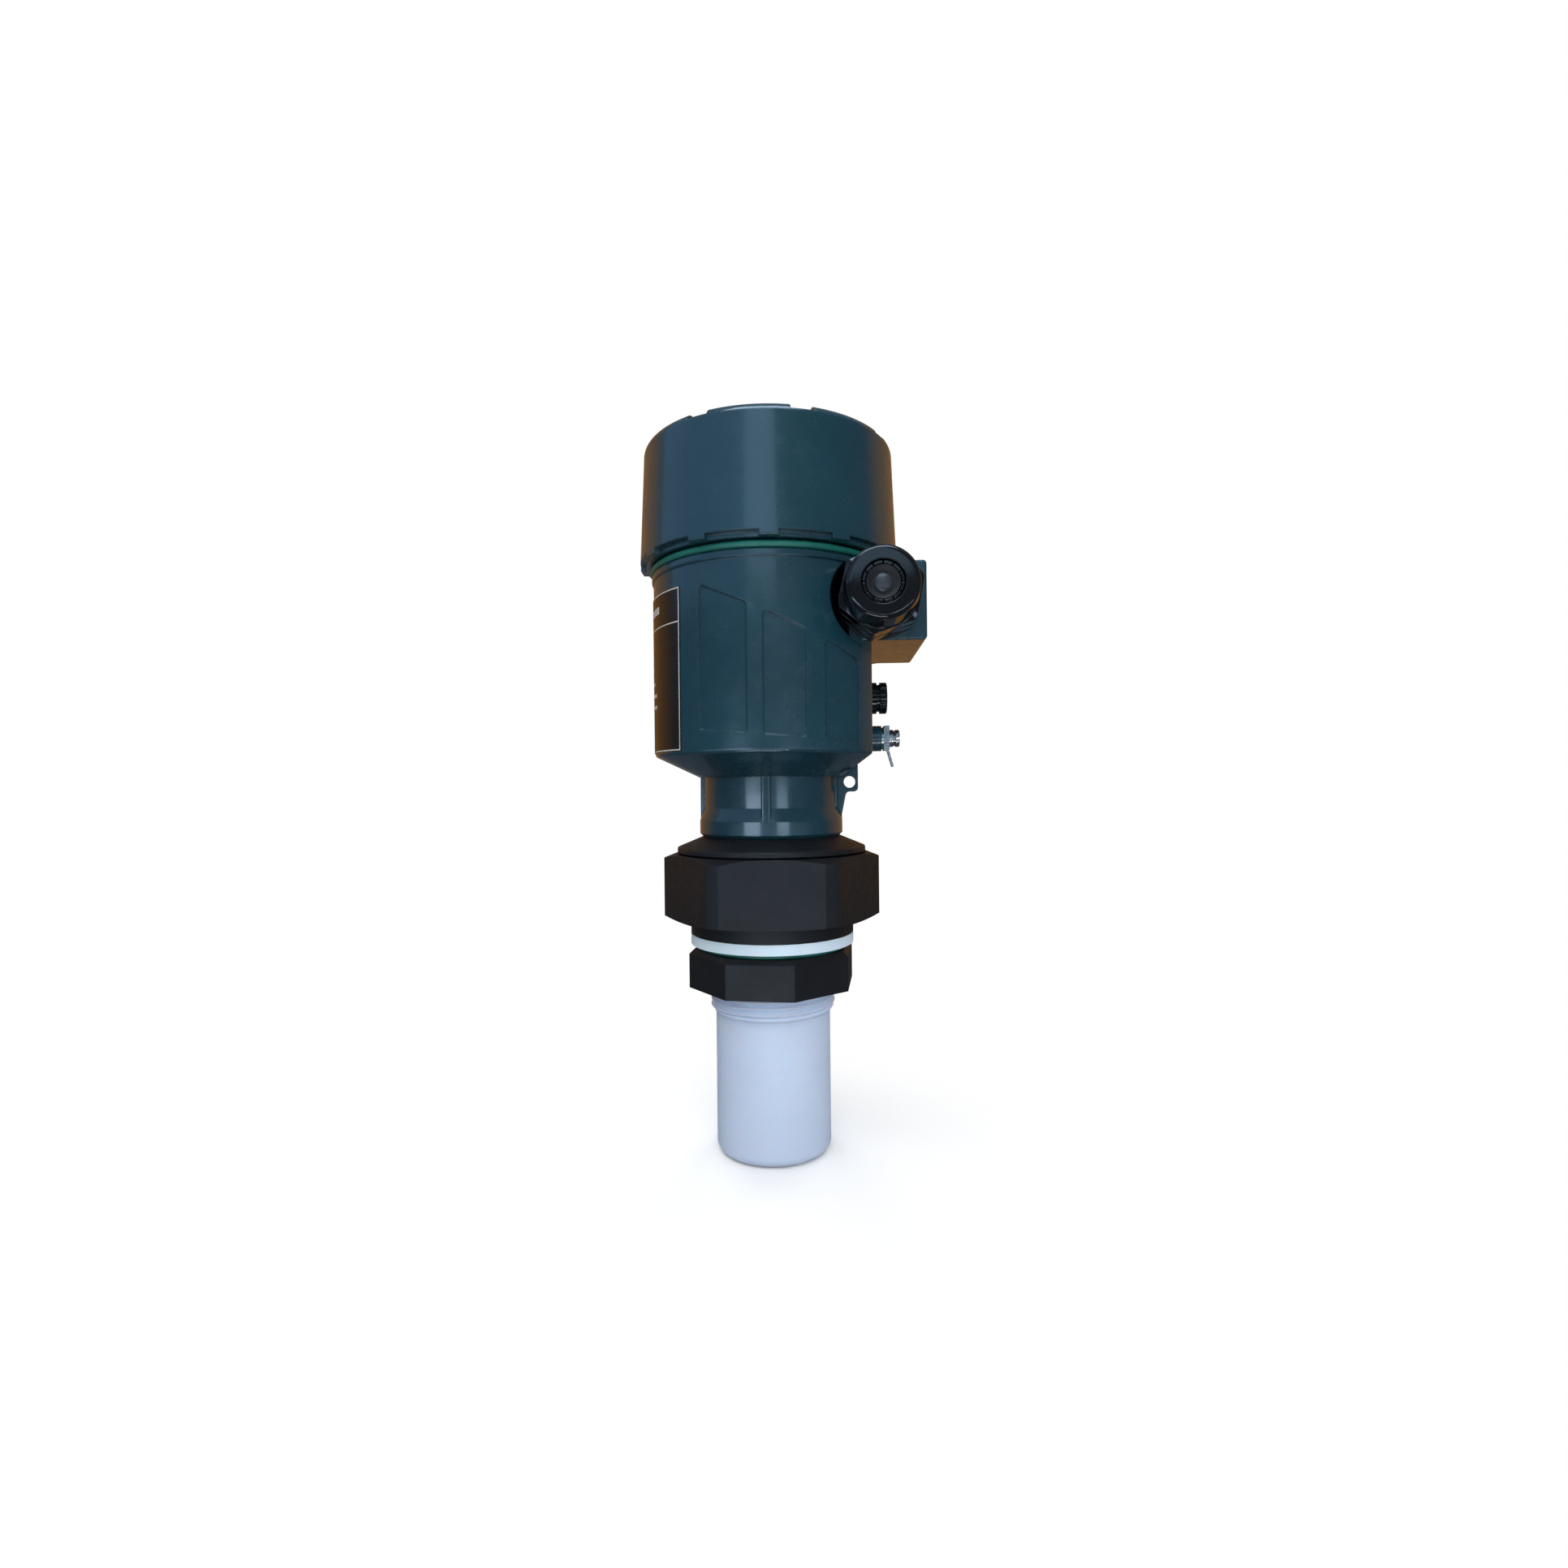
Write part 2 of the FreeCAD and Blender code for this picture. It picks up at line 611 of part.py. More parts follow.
def with_flat(body):
    """Flat side under the entry block, sloping in to the neck, with its upright edges rounded."""
    side = box((FLAT_X, BEYOND), (-BEYOND, BEYOND), (BODY_LOW_Z, ENTRY_Z))
    slope = extruded([
        (NECK_BAND_RADIUS, NECK_TOP_Z),
        (BEYOND, NECK_TOP_Z),
        (BEYOND, BODY_LOW_Z),
        (FLAT_X, BODY_LOW_Z),
    ], -BEYOND, BEYOND)
    cut_body = body.cut([side, slope])
    upright = [
        edge for edge in cut_body.Edges
        if abs(edge.CenterOfMass.x - FLAT_X) < MERGE_DISTANCE
        and abs(edge.CenterOfMass.y) > FLAT_X / 4
        and edge.BoundBox.ZLength > BODY_HEIGHT / 3
    ]
    return cut_body.makeFillet(FLAT_EDGE_ROUND, upright)


def panel_recess(bearing, width_deg):
    """Shallow four-sided recess whose top and bottom fall towards the entry block."""
    half_deg = width_deg / 2
    half_width = BODY_RADIUS * math.sin(math.radians(half_deg))
    from_middle_panel = bearing - PANEL_BEARINGS[1]
    top = PANEL_TOP_Z - PANEL_TOP_FALL_PER_DEG * from_middle_panel
    low = PANEL_LOW_Z - PANEL_LOW_FALL_PER_DEG * from_middle_panel
    top_fall = PANEL_TOP_FALL_PER_DEG * half_deg
    low_fall = PANEL_LOW_FALL_PER_DEG * half_deg
    outline = extruded([
        (-half_width, low + low_fall, PANEL_CORNER_ROUND),
        (half_width, low - low_fall, PANEL_CORNER_ROUND),
        (half_width, top - top_fall, PANEL_CORNER_ROUND),
        (-half_width, top + top_fall, PANEL_CORNER_ROUND),
    ], -BEYOND, 0)
    outline.rotate(ORIGIN, Z_AXIS, bearing)
    skin = turned([
        (BODY_RADIUS - PANEL_DEPTH, BODY_LOW_Z),
        (BEYOND, BODY_LOW_Z),
        (BEYOND, LIP_LOW_Z),
        (BODY_RADIUS + BODY_DRAFT - PANEL_DEPTH, LIP_LOW_Z),
    ])
    return outline.common(skin)


def entry_block():
    low, high = ENTRY_Z - BLOCK_HEIGHT / 2, ENTRY_Z + BLOCK_HEIGHT / 2
    block = extruded([
        (0, low),
        (BLOCK_REACH, low, BLOCK_EDGE_ROUND),
        (BLOCK_REACH, high, BLOCK_EDGE_ROUND),
        (0, high),
    ], -BLOCK_HALF_DEPTH, BLOCK_HALF_DEPTH)
    rims = [
        edge for edge in block.Edges
        if abs(abs(edge.CenterOfMass.y) - BLOCK_HALF_DEPTH) < MERGE_DISTANCE
        and edge.CenterOfMass.x > BLOCK_REACH / 4
    ]
    return block.makeFillet(BLOCK_RIM_ROUND, rims)


def spot_faces():
    """Room cut from the round body and its lip so that a gland can seat on the block's ends."""
    tools = []
    below_lip = box((-BEYOND, BEYOND), (-BEYOND, BEYOND), (NECK_TOP_Z, LIP_LOW_Z - SEAT_GAP))
    for side in (-1, 1):
        start = Vector(ENTRY_X, side * BLOCK_HALF_DEPTH, ENTRY_Z)
        face = Part.makeCylinder(SPOT_FACE_RADIUS, BEYOND, start, Y_AXIS * side)
        lip_relief = Part.makeCylinder(LIP_RELIEF_RADIUS, BEYOND, start, Y_AXIS * side)
        tools += [face.common(below_lip), lip_relief]
    return tools


def neck_ribs():
    """Ribs from the neck's band up into the cone, the first towards -Y and the second towards +X."""
    half_width = NECK_RIB_WIDTH / 2
    z_span = (NECK_LOW_Z + NECK_BAND_HEIGHT - OVERSHOOT, NECK_TOP_Z + OVERSHOOT)
    rib = box((-half_width, half_width), (-BEYOND, HOUSING_WALL - NECK_WAIST_RADIUS), z_span)
    rib = rib.common(cylinder(NECK_BAND_RADIUS - NECK_RIB_SETBACK, *z_span))
    upright = [
        edge for edge in rib.Edges
        if edge.CenterOfMass.y < -NECK_WAIST_RADIUS and edge.BoundBox.ZLength > NECK_BAND_HEIGHT
    ]
    return around(rib.makeFillet(NECK_RIB_EDGE_ROUND, upright), NECK_RIB_COUNT, 0)


def seal_lug(body):
    """Holed plate on the rib towards +X, trimmed to the body that it stands on."""
    half = LUG_THICKNESS / 2
    root = NECK_WAIST_RADIUS - HOUSING_WALL
    plate = extruded([
        (root, LUG_ROOT_Z),
        (NECK_BAND_RADIUS, LUG_ROOT_Z),
        (NECK_BAND_RADIUS + LUG_CORNER_ROUND, LUG_LOW_Z, LUG_CORNER_ROUND),
        (LUG_REACH, LUG_LOW_Z, LUG_CORNER_ROUND),
        (LUG_REACH, BODY_LOW_Z),
        (root, BODY_LOW_Z),
    ], -half, half)
    lug = plate.fuse(neck_ribs()[1]).cut([lug_hole(), body])
    return max(lug.Solids, key=lambda solid: solid.Volume)


def lug_hole():
    start = Vector(LUG_HOLE_X, -LUG_THICKNESS, LUG_HOLE_Z)
    return Part.makeCylinder(LUG_HOLE_RADIUS, 2 * LUG_THICKNESS, start, Y_AXIS)


def cone_dimple():
    """Blind hole in the sloping underside beside the lug."""
    run = BODY_RADIUS - NECK_BAND_RADIUS
    slope = SHOULDER_CONE_RISE / run
    height = NECK_TOP_Z + slope * (DIMPLE_DISTANCE - NECK_BAND_RADIUS)
    outward = bearing_vector(DIMPLE_BEARING, SHOULDER_CONE_RISE, -run).normalize()
    start = bearing_vector(DIMPLE_BEARING, DIMPLE_DISTANCE, height) - outward * DIMPLE_DEPTH
    return Part.makeCylinder(DIMPLE_RADIUS, 2 * DIMPLE_DEPTH, start, outward)


def housing_cavity():
    wide = cylinder(CAVITY_RADIUS, CAVITY_FLOOR_Z, SPIGOT_TOP_Z + OVERSHOOT)
    flat_wall = box(
        (FLAT_X - HOUSING_WALL, BEYOND), (-BEYOND, BEYOND),
        (NECK_LOW_Z, ENTRY_Z - BLOCK_HEIGHT / 2 + BLOCK_WALL),
    )
    wide = wide.cut(flat_wall)
    neck = cylinder(NECK_PASSAGE_RADIUS, NECK_LOW_Z, CAVITY_FLOOR_Z + OVERSHOOT)
    socket = cylinder(
        COLLAR_SPIGOT_RADIUS + RUNNING_GAP, NECK_LOW_Z - OVERSHOOT,
        NECK_LOW_Z + COLLAR_SPIGOT_HEIGHT + PROBE_TOP_ROOM,
    )
    return wide.fuse([neck, socket])


def entry_bosses():
    """Round walls inside the body that carry the two entry threads."""
    bosses = []
    for side in (-1, 1):
        start = Vector(ENTRY_X, side * BLOCK_HALF_DEPTH, ENTRY_Z)
        boss = Part.makeCylinder(ENTRY_BOSS_RADIUS, ENTRY_BOSS_LENGTH, start, Y_AXIS * -side)
        bosses.append(boss)
    return bosses


def entry_bores():
    start = Vector(ENTRY_X, -BEYOND, ENTRY_Z)
    bore = Part.makeCylinder(ENTRY_HOLE_RADIUS, 2 * BEYOND, start, Y_AXIS)
    half_pocket = BLOCK_HALF_DEPTH - ENTRY_BOSS_LENGTH
    half_height = ENTRY_POCKET_HEIGHT / 2
    pocket = box(
        (0, BLOCK_REACH - BLOCK_WALL), (-half_pocket, half_pocket),
        (ENTRY_Z - half_height, ENTRY_Z + half_height),
    )
    return bore, pocket


def pillar_places(height):
    distance = CAVITY_RADIUS - PILLAR_INSET
    return [bearing_vector(bearing, distance, height) for bearing in PILLAR_BEARINGS]


def board_pillars():
    rise = BOARD_Z - CAVITY_FLOOR_Z + OVERSHOOT
    start = CAVITY_FLOOR_Z - OVERSHOOT
    return [Part.makeCylinder(PILLAR_RADIUS, rise, place, Z_AXIS) for place in pillar_places(start)]


def pillar_holes():
    start = BOARD_Z - SCREW_LENGTH - OVERSHOOT
    depth = SCREW_LENGTH + 2 * OVERSHOOT
    return [
        Part.makeCylinder(SCREW_RADIUS + RUNNING_GAP, depth, place, Z_AXIS)
        for place in pillar_places(start)
    ]


def flat_features():
    """Earth boss on the flat, and the holes for the vent and the earth screw."""
    inside = FLAT_X - HOUSING_WALL / 2
    boss_end = FLAT_X + GROUND_BOSS_HEIGHT
    boss = Part.makeCylinder(
        GROUND_BOSS_RADIUS, boss_end - inside, Vector(inside, 0, GROUND_Z), X_AXIS
    )
    vent_hole = Part.makeCylinder(
        VENT_SHANK_RADIUS + RUNNING_GAP, BEYOND, Vector(0, 0, VENT_Z), X_AXIS
    )
    screw_hole = Part.makeCylinder(
        GROUND_SCREW_RADIUS + RUNNING_GAP, BEYOND,
        Vector(boss_end - GROUND_HOLE_DEPTH, 0, GROUND_Z), X_AXIS,
    )
    return boss, vent_hole, screw_hole


def housing():
    outside = with_flat(housing_outside())
    outside = outside.fuse(entry_block()).cut(spot_faces())
    recesses = []
    for bearing, width_deg in zip(PANEL_BEARINGS, PANEL_WIDTHS_DEG):
        recess = panel_recess(bearing, width_deg)
        recesses += [recess, recess.mirror(ORIGIN, Y_AXIS)]
    outside = outside.cut(recesses)
    boss, vent_hole, screw_hole = flat_features()
    ribs = neck_ribs()
    del ribs[1]
    outside = outside.fuse(ribs + [boss])
    bore, pocket = entry_bores()
    inside = housing_cavity()
    shell = outside.cut(inside)
    inner = [shape.common(inside) for shape in entry_bosses() + board_pillars()]
    shell = shell.fuse(inner).cut([bore, pocket, vent_hole, screw_hole, cone_dimple()])
    return shell.cut(pillar_holes()).removeSplitter()


def rating_label():
    low_radius = body_radius_at(LABEL_LOW_Z) + LABEL_GLUE
    top_radius = body_radius_at(LABEL_TOP_Z) + LABEL_GLUE
    return turned([
        (low_radius, LABEL_LOW_Z),
        (low_radius + LABEL_THICKNESS, LABEL_LOW_Z),
        (top_radius + LABEL_THICKNESS, LABEL_TOP_Z),
        (top_radius, LABEL_TOP_Z),
    ], LABEL_BEARING - LABEL_WIDTH_DEG / 2, LABEL_WIDTH_DEG)


# Lid and window

def lid_blank():
    bore = SPIGOT_RADIUS + THREAD_GAP
    cavity_radius = LID_TOP_RADIUS - LID_WALL
    seat_radius = GLASS_RADIUS + SOFT_GAP
    seat_outer = seat_radius + LID_SEAT_WALL
    rim_inner = LID_TOP_RADIUS - LID_RIM_WIDTH
    return turned([
        (bore, LID_LOW_Z),
        (LID_LOW_RADIUS, LID_LOW_Z, LID_SMALL_ROUND),
        (LID_TOP_RADIUS, LID_TOP_Z, LID_EDGE_ROUND),
        (rim_inner, LID_TOP_Z, LID_SMALL_ROUND),
        (rim_inner - LID_DISH_DEPTH / 2, DISH_Z),
        (WINDOW_RADIUS, DISH_Z, LID_SMALL_ROUND),
        (WINDOW_RADIUS, ROOF_LOW_Z),
        (seat_radius, ROOF_LOW_Z),
        (seat_radius, RETAINER_LOW_Z),
        (seat_outer, RETAINER_LOW_Z),
        (seat_outer, ROOF_LOW_Z),
        (cavity_radius, ROOF_LOW_Z),
        (cavity_radius, LID_LOW_Z + LID_THREAD_LENGTH),
        (bore, LID_LOW_Z + LID_THREAD_LENGTH),
    ])


def lid_notches():
    """Wrench notches across the top rim."""
    half = NOTCH_WIDTH / 2
    notch = box((-half, half), (-BEYOND, -WINDOW_RADIUS), (LID_TOP_Z - NOTCH_DEPTH, BEYOND + LID_TOP_Z))
    return around(notch, NOTCH_COUNT, NOTCH_BEARING)


def lid_pockets():
    """Pockets in the lower rim, open downwards, with a tab between each two."""
    band = ring(BEYOND, LID_LOW_RADIUS - POCKET_DEPTH, LID_LOW_Z - OVERSHOOT, LID_LOW_Z + POCKET_HEIGHT)
    half = TAB_WIDTH / 2
    tab_span = (LID_LOW_Z - 2 * OVERSHOOT, LID_LOW_Z + POCKET_HEIGHT + OVERSHOOT)
    tab = box((-half, half), (-2 * BEYOND, 0), tab_span)
    return band.cut(around(tab, TAB_COUNT, TAB_BEARING)).Solids


def lid():
    return lid_blank().cut(lid_notches() + lid_pockets()).removeSplitter()


def lid_o_ring():
    centre_radius = SPIGOT_RADIUS + SEAT_GAP + LID_RING_SECTION / 2
    return o_ring(centre_radius, LID_RING_SECTION, SHOULDER_Z + SEAT_GAP + LID_RING_SECTION / 2)


def sight_glass():
    return cylinder(GLASS_RADIUS, GLASS_LOW_Z + SEAT_GAP, GLASS_TOP_Z - SEAT_GAP)


def glass_gasket():
    return ring(GLASS_RADIUS, WINDOW_RADIUS, GLASS_TOP_Z, ROOF_LOW_Z - SEAT_GAP)


def glass_retaining_ring():
    outer = GLASS_RADIUS + SOFT_GAP - RUNNING_GAP
    half = RETAINER_SLOT_WIDTH / 2
    slot_top = RETAINER_LOW_Z + RETAINER_SLOT_DEPTH
    slot = box((-half, half), (-BEYOND, 0), (RETAINER_LOW_Z - OVERSHOOT, slot_top))
    slots = around(slot, RETAINER_SLOT_COUNT, 0)
    return ring(outer, WINDOW_RADIUS, RETAINER_LOW_Z, GLASS_LOW_Z).cut(slots)


# Electronics

def main_board():
    radius = CAVITY_RADIUS - BOARD_EDGE_ROOM
    board = cylinder(radius, BOARD_Z, BOARD_TOP_Z)
    board = board.cut(box((BOARD_FLAT_X, BEYOND), (-BEYOND, BEYOND), (BOARD_Z - OVERSHOOT, BEYOND)))
    holes = [
        Part.makeCylinder(SCREW_RADIUS + RUNNING_GAP, BEYOND, place, Z_AXIS)
        for place in pillar_places(BOARD_Z - OVERSHOOT)
    ]
    return board.cut(holes)


def board_screws():
    head = cylinder(SCREW_HEAD_RADIUS, 0, SCREW_HEAD_HEIGHT)
    shank = cylinder(SCREW_RADIUS, -SCREW_LENGTH, 0)
    screw = head.fuse(shank)
    return group([aimed(screw, place, Z_AXIS) for place in pillar_places(BOARD_TOP_Z)])


def electronics_module():
    return cylinder(MODULE_RADIUS, MODULE_LOW_Z, BOARD_Z)


def pole_places():
    pitch = TERMINAL_WIDTH / TERMINAL_POLES
    first = -(TERMINAL_POLES - 1) * pitch / 2
    return [first + index * pitch for index in range(TERMINAL_POLES)]


def terminal_block():
    edge_x = BOARD_FLAT_X - TERMINAL_EDGE_GAP
    half = TERMINAL_WIDTH / 2
    top = BOARD_TOP_Z + TERMINAL_HEIGHT
    block = box((edge_x - TERMINAL_DEPTH, edge_x), (-half, half), (BOARD_TOP_Z, top))
    cuts = []
    wire_z = BOARD_TOP_Z + TERMINAL_WIRE_HEIGHT
    for place in pole_places():
        wire_start = Vector(edge_x - TERMINAL_DEPTH / 2, place, wire_z)
        cuts.append(Part.makeCylinder(TERMINAL_WIRE_RADIUS, TERMINAL_DEPTH, wire_start, X_AXIS))
        well_low = top - TERMINAL_SCREW_SINK - TERMINAL_SCREW_LENGTH
        well_x = edge_x - TERMINAL_DEPTH / 2
        well_radius = TERMINAL_SCREW_RADIUS + RUNNING_GAP
        cuts.append(cylinder(well_radius, well_low, top + OVERSHOOT, well_x, place))
    return block.cut(cuts)


def terminal_screws():
    top = BOARD_TOP_Z + TERMINAL_HEIGHT - TERMINAL_SCREW_SINK
    screw_x = BOARD_FLAT_X - TERMINAL_EDGE_GAP - TERMINAL_DEPTH / 2
    screws = []
    half_slot = TERMINAL_SLOT_WIDTH / 2
    slot_span = (top - TERMINAL_SLOT_WIDTH, top + OVERSHOOT)
    for place in pole_places():
        screw = cylinder(TERMINAL_SCREW_RADIUS, top - TERMINAL_SCREW_LENGTH, top, screw_x, place)
        slot = box((0, BEYOND), (place - half_slot, place + half_slot), slot_span)
        screws.append(screw.cut(slot))
    return group(screws)


# Display

def display_standoffs():
    pillars = []
    for bearing in STANDOFF_BEARINGS:
        place = bearing_vector(bearing, STANDOFF_DISTANCE)
        pillar = prism(HEX_SIDES, STANDOFF_ACROSS_FLATS, BOARD_TOP_Z, DISPLAY_BOARD_Z)
        pillar.translate(place)
        pillars.append(pillar)
    return group(pillars)


def display_board():
    return cylinder(BEZEL_RADIUS - BEZEL_WALL - RUNNING_GAP, DISPLAY_BOARD_Z, DISPLAY_BOARD_TOP_Z)


def key_places():
    first = -(KEY_COUNT - 1) * KEY_PITCH / 2
    return [first + index * KEY_PITCH for index in range(KEY_COUNT)]


def display_bezel():
    inner = BEZEL_RADIUS - BEZEL_WALL
    top = BEZEL_SKIN_Z + BEZEL_SKIN
    shell = turned([
        (inner, DISPLAY_BOARD_Z - BEZEL_SKIRT),
        (BEZEL_RADIUS, DISPLAY_BOARD_Z - BEZEL_SKIRT),
        (BEZEL_RADIUS, top, BEZEL_EDGE_ROUND),
        (0, top),
        (0, BEZEL_SKIN_Z),
        (inner - BEZEL_LEDGE, BEZEL_SKIN_Z),
        (inner - BEZEL_LEDGE, DISPLAY_BOARD_TOP_Z),
        (inner, DISPLAY_BOARD_TOP_Z),
    ])
    half_width = LCD_WIDTH / 2 - LCD_FRAME
    half_depth = LCD_DEPTH / 2 - LCD_FRAME
    window = box(
        (-half_width, half_width), (LCD_CENTRE_Y - half_depth, LCD_CENTRE_Y + half_depth),
        (BEZEL_SKIN_Z - OVERSHOOT, top + OVERSHOOT),
    )
    holes = [
        cylinder(KEY_RADIUS + RUNNING_GAP, BEZEL_SKIN_Z - OVERSHOOT, top + OVERSHOOT, x, KEY_ROW_Y)
        for x in key_places()
    ]
    return shell.cut([window] + holes)


def lcd_panel():
    half_width, half_depth = LCD_WIDTH / 2, LCD_DEPTH / 2
    return box(
        (-half_width, half_width), (LCD_CENTRE_Y - half_depth, LCD_CENTRE_Y + half_depth),
        (DISPLAY_BOARD_TOP_Z, BEZEL_SKIN_Z),
    )


def display_key(x):
    flange_top = BEZEL_SKIN_Z - SEAT_GAP
    stem_low = DISPLAY_BOARD_TOP_Z + SWITCH_HEIGHT + KEY_TRAVEL + KEY_STOP_ROOM
    key = turned([
        (0, stem_low),
        (KEY_STEM_RADIUS, stem_low),
        (KEY_STEM_RADIUS, flange_top - KEY_FLANGE_HEIGHT),
        (KEY_RADIUS + KEY_FLANGE, flange_top - KEY_FLANGE_HEIGHT),
        (KEY_RADIUS + KEY_FLANGE, flange_top),
        (KEY_RADIUS, flange_top),
        (KEY_RADIUS, BEZEL_SKIN_Z + BEZEL_SKIN + KEY_PROUD, KEY_EDGE_ROUND),
        (0, BEZEL_SKIN_Z + BEZEL_SKIN + KEY_PROUD),
    ])
    key.translate(Vector(x, KEY_ROW_Y, 0))
    return key


def key_switches():
    half = SWITCH_SIDE / 2
    low = DISPLAY_BOARD_TOP_Z
    return group([
        box((x - half, x + half), (KEY_ROW_Y - half, KEY_ROW_Y + half), (low, low + SWITCH_HEIGHT))
        for x in key_places()
    ])


# Cable gland, made along +Z from the block's face, and the blanking plug

def gland_washer():
    return ring(GLAND_WASHER_RADIUS, ENTRY_HOLE_RADIUS, 0, GLAND_WASHER_THICKNESS)


def trimmed_hex(across_flats, low, high, turn):
    """Hexagon with its corners turned down and its edges bevelled."""
    apothem = across_flats / 2
    corner = apothem / math.cos(math.pi / HEX_SIDES) - GLAND_HEX_TRIM
    drop = (corner - apothem) / 2
    blank = turned([
        (0, low),
        (apothem, low),
        (corner, low + drop),
        (corner, high - drop),
        (apothem, high),
        (0, high),
    ])
    return prism(HEX_SIDES, across_flats, low, high, turn).common(blank)


def finger_tip_z():
    return GLAND_LENGTH - FINGER_SETBACK


def gland_cone_low():
    return GLAND_LENGTH - GLAND_MOUTH_LENGTH - GLAND_CONE_LENGTH


def gland_body():
    hex_low = GLAND_WASHER_THICKNESS
    hex_top = hex_low + GLAND_HEX_HEIGHT
    hexagon = trimmed_hex(GLAND_HEX_ACROSS_FLATS, hex_low, hex_top, GLAND_HEX_TURN)
    tip_radius = GLAND_BORE_RADIUS + FINGER_TIP_WALL
    tube = turned([
        (0, -GLAND_THREAD_LENGTH),
        (ENTRY_HOLE_RADIUS - RUNNING_GAP, -GLAND_THREAD_LENGTH),
        (ENTRY_HOLE_RADIUS - RUNNING_GAP, hex_top),
        (GLAND_NECK_RADIUS, hex_top),
        (GLAND_NECK_RADIUS, gland_cone_low() - SOFT_GAP),
        (tip_radius, finger_tip_z() - GLAND_MOUTH_LENGTH),
        (tip_radius, finger_tip_z()),
        (0, finger_tip_z()),
    ])
    bore = cylinder(GLAND_BORE_RADIUS, -BEYOND, BEYOND)
    slit_low = hex_top + GLAND_NUT_GAP + GLAND_NUT_HEX_HEIGHT
    half = FINGER_SLIT_WIDTH / 2
    slit = box((-half, half), (-BEYOND, 0), (slit_low, BEYOND))
    return hexagon.fuse(tube).cut([bore] + around(slit, FINGER_COUNT, 0))


def gland_seal():
    tip = finger_tip_z()
    outer = GLAND_BORE_RADIUS - SOFT_GAP
    return turned([
        (DUST_PLUG_RADIUS + RUNNING_GAP, tip - SEAL_LENGTH),
        (outer, tip - SEAL_LENGTH),
        (outer, tip),
        (DUST_PLUG_HEAD_RADIUS + SOFT_GAP, tip - SEAL_DISH_DEPTH),
        (DUST_PLUG_RADIUS + RUNNING_GAP, tip - SEAL_DISH_DEPTH),
    ])


def gland_dust_plug():
    head_low = finger_tip_z() - SEAL_DISH_DEPTH
    stem = cylinder(DUST_PLUG_RADIUS, head_low - DUST_PLUG_LENGTH, head_low)
    ball_radius = DUST_PLUG_HEAD_RADIUS
    head = Part.makeSphere(ball_radius, Vector(0, 0, head_low), Z_AXIS, 0, 90, 360)
    squeeze = FreeCAD.Matrix()
    squeeze.scale(1, 1, SEAL_DISH_DEPTH / ball_radius)
    head.translate(Vector(0, 0, -head_low))
    head = head.transformGeometry(squeeze)
    head.translate(Vector(0, 0, head_low))
    return head.fuse(stem)


def gland_dome_nut():
    low = GLAND_WASHER_THICKNESS + GLAND_HEX_HEIGHT + GLAND_NUT_GAP
    hex_top = low + GLAND_NUT_HEX_HEIGHT
    hexagon = trimmed_hex(GLAND_HEX_ACROSS_FLATS, low, hex_top, GLAND_HEX_TURN)
    dome = turned([
        (0, low),
        (GLAND_DOME_RADIUS, low),
        (GLAND_DOME_RADIUS, hex_top),
        (GLAND_DOME_FRONT_RADIUS, GLAND_LENGTH, GLAND_DOME_ROUND),
        (0, GLAND_LENGTH),
    ])
    inner = turned([
        (0, low - OVERSHOOT),
        (GLAND_NECK_RADIUS + RUNNING_GAP, low - OVERSHOOT),
        (GLAND_NECK_RADIUS + RUNNING_GAP, gland_cone_low()),
        (GLAND_MOUTH_RADIUS, GLAND_LENGTH - GLAND_MOUTH_LENGTH),
        (GLAND_MOUTH_RADIUS, GLAND_LENGTH + OVERSHOOT),
        (0, GLAND_LENGTH + OVERSHOOT),
    ])
    return hexagon.fuse(dome).cut(inner).removeSplitter()


def blanking_plug():
    head_low = GLAND_WASHER_THICKNESS
    head_top = head_low + PLUG_HEAD_HEIGHT
    head = trimmed_hex(PLUG_HEX_ACROSS_FLATS, head_low, head_top, 0)
    shank = cylinder(ENTRY_HOLE_RADIUS - RUNNING_GAP, -GLAND_THREAD_LENGTH, head_low)
    half = PLUG_SLOT_WIDTH / 2
    slot = box((-BEYOND, BEYOND), (-half, half), (head_top - PLUG_SLOT_DEPTH, BEYOND))
    return head.fuse(shank).cut(slot)


def at_front_entry(shape):
    return aimed(shape, Vector(ENTRY_X, -BLOCK_HALF_DEPTH, ENTRY_Z), -Y_AXIS)


def at_rear_entry(shape):
    return aimed(shape, Vector(ENTRY_X, BLOCK_HALF_DEPTH, ENTRY_Z), Y_AXIS)


# Vent and earth terminal, made along +Z from the flat

def vent_plug():
    groove_low = VENT_HEIGHT / 2 - VENT_GROOVE_WIDTH / 2
    groove_radius = VENT_RADIUS - VENT_GROOVE_DEPTH
    head = turned([
        (0, -VENT_SHANK_LENGTH),
        (VENT_SHANK_RADIUS, -VENT_SHANK_LENGTH),
        (VENT_SHANK_RADIUS, VENT_RING_SECTION),
        (VENT_RING_RADIUS + SEAT_GAP, VENT_RING_SECTION),
        (VENT_RING_RADIUS + SEAT_GAP, SEAT_GAP),
        (VENT_RADIUS, SEAT_GAP),
        (VENT_RADIUS, groove_low),
        (groove_radius, groove_low),
        (groove_radius, groove_low + VENT_GROOVE_WIDTH),
        (VENT_RADIUS, groove_low + VENT_GROOVE_WIDTH),
        (VENT_RADIUS, VENT_HEIGHT, VENT_EDGE_ROUND),
        (0, VENT_HEIGHT),
    ])
    flute = cylinder(VENT_FLUTE_RADIUS, groove_low + VENT_GROOVE_WIDTH, BEYOND, 0, -VENT_RADIUS)
    return head.cut(around(flute, VENT_FLUTE_COUNT, FULL_TURN / VENT_FLUTE_COUNT / 2))


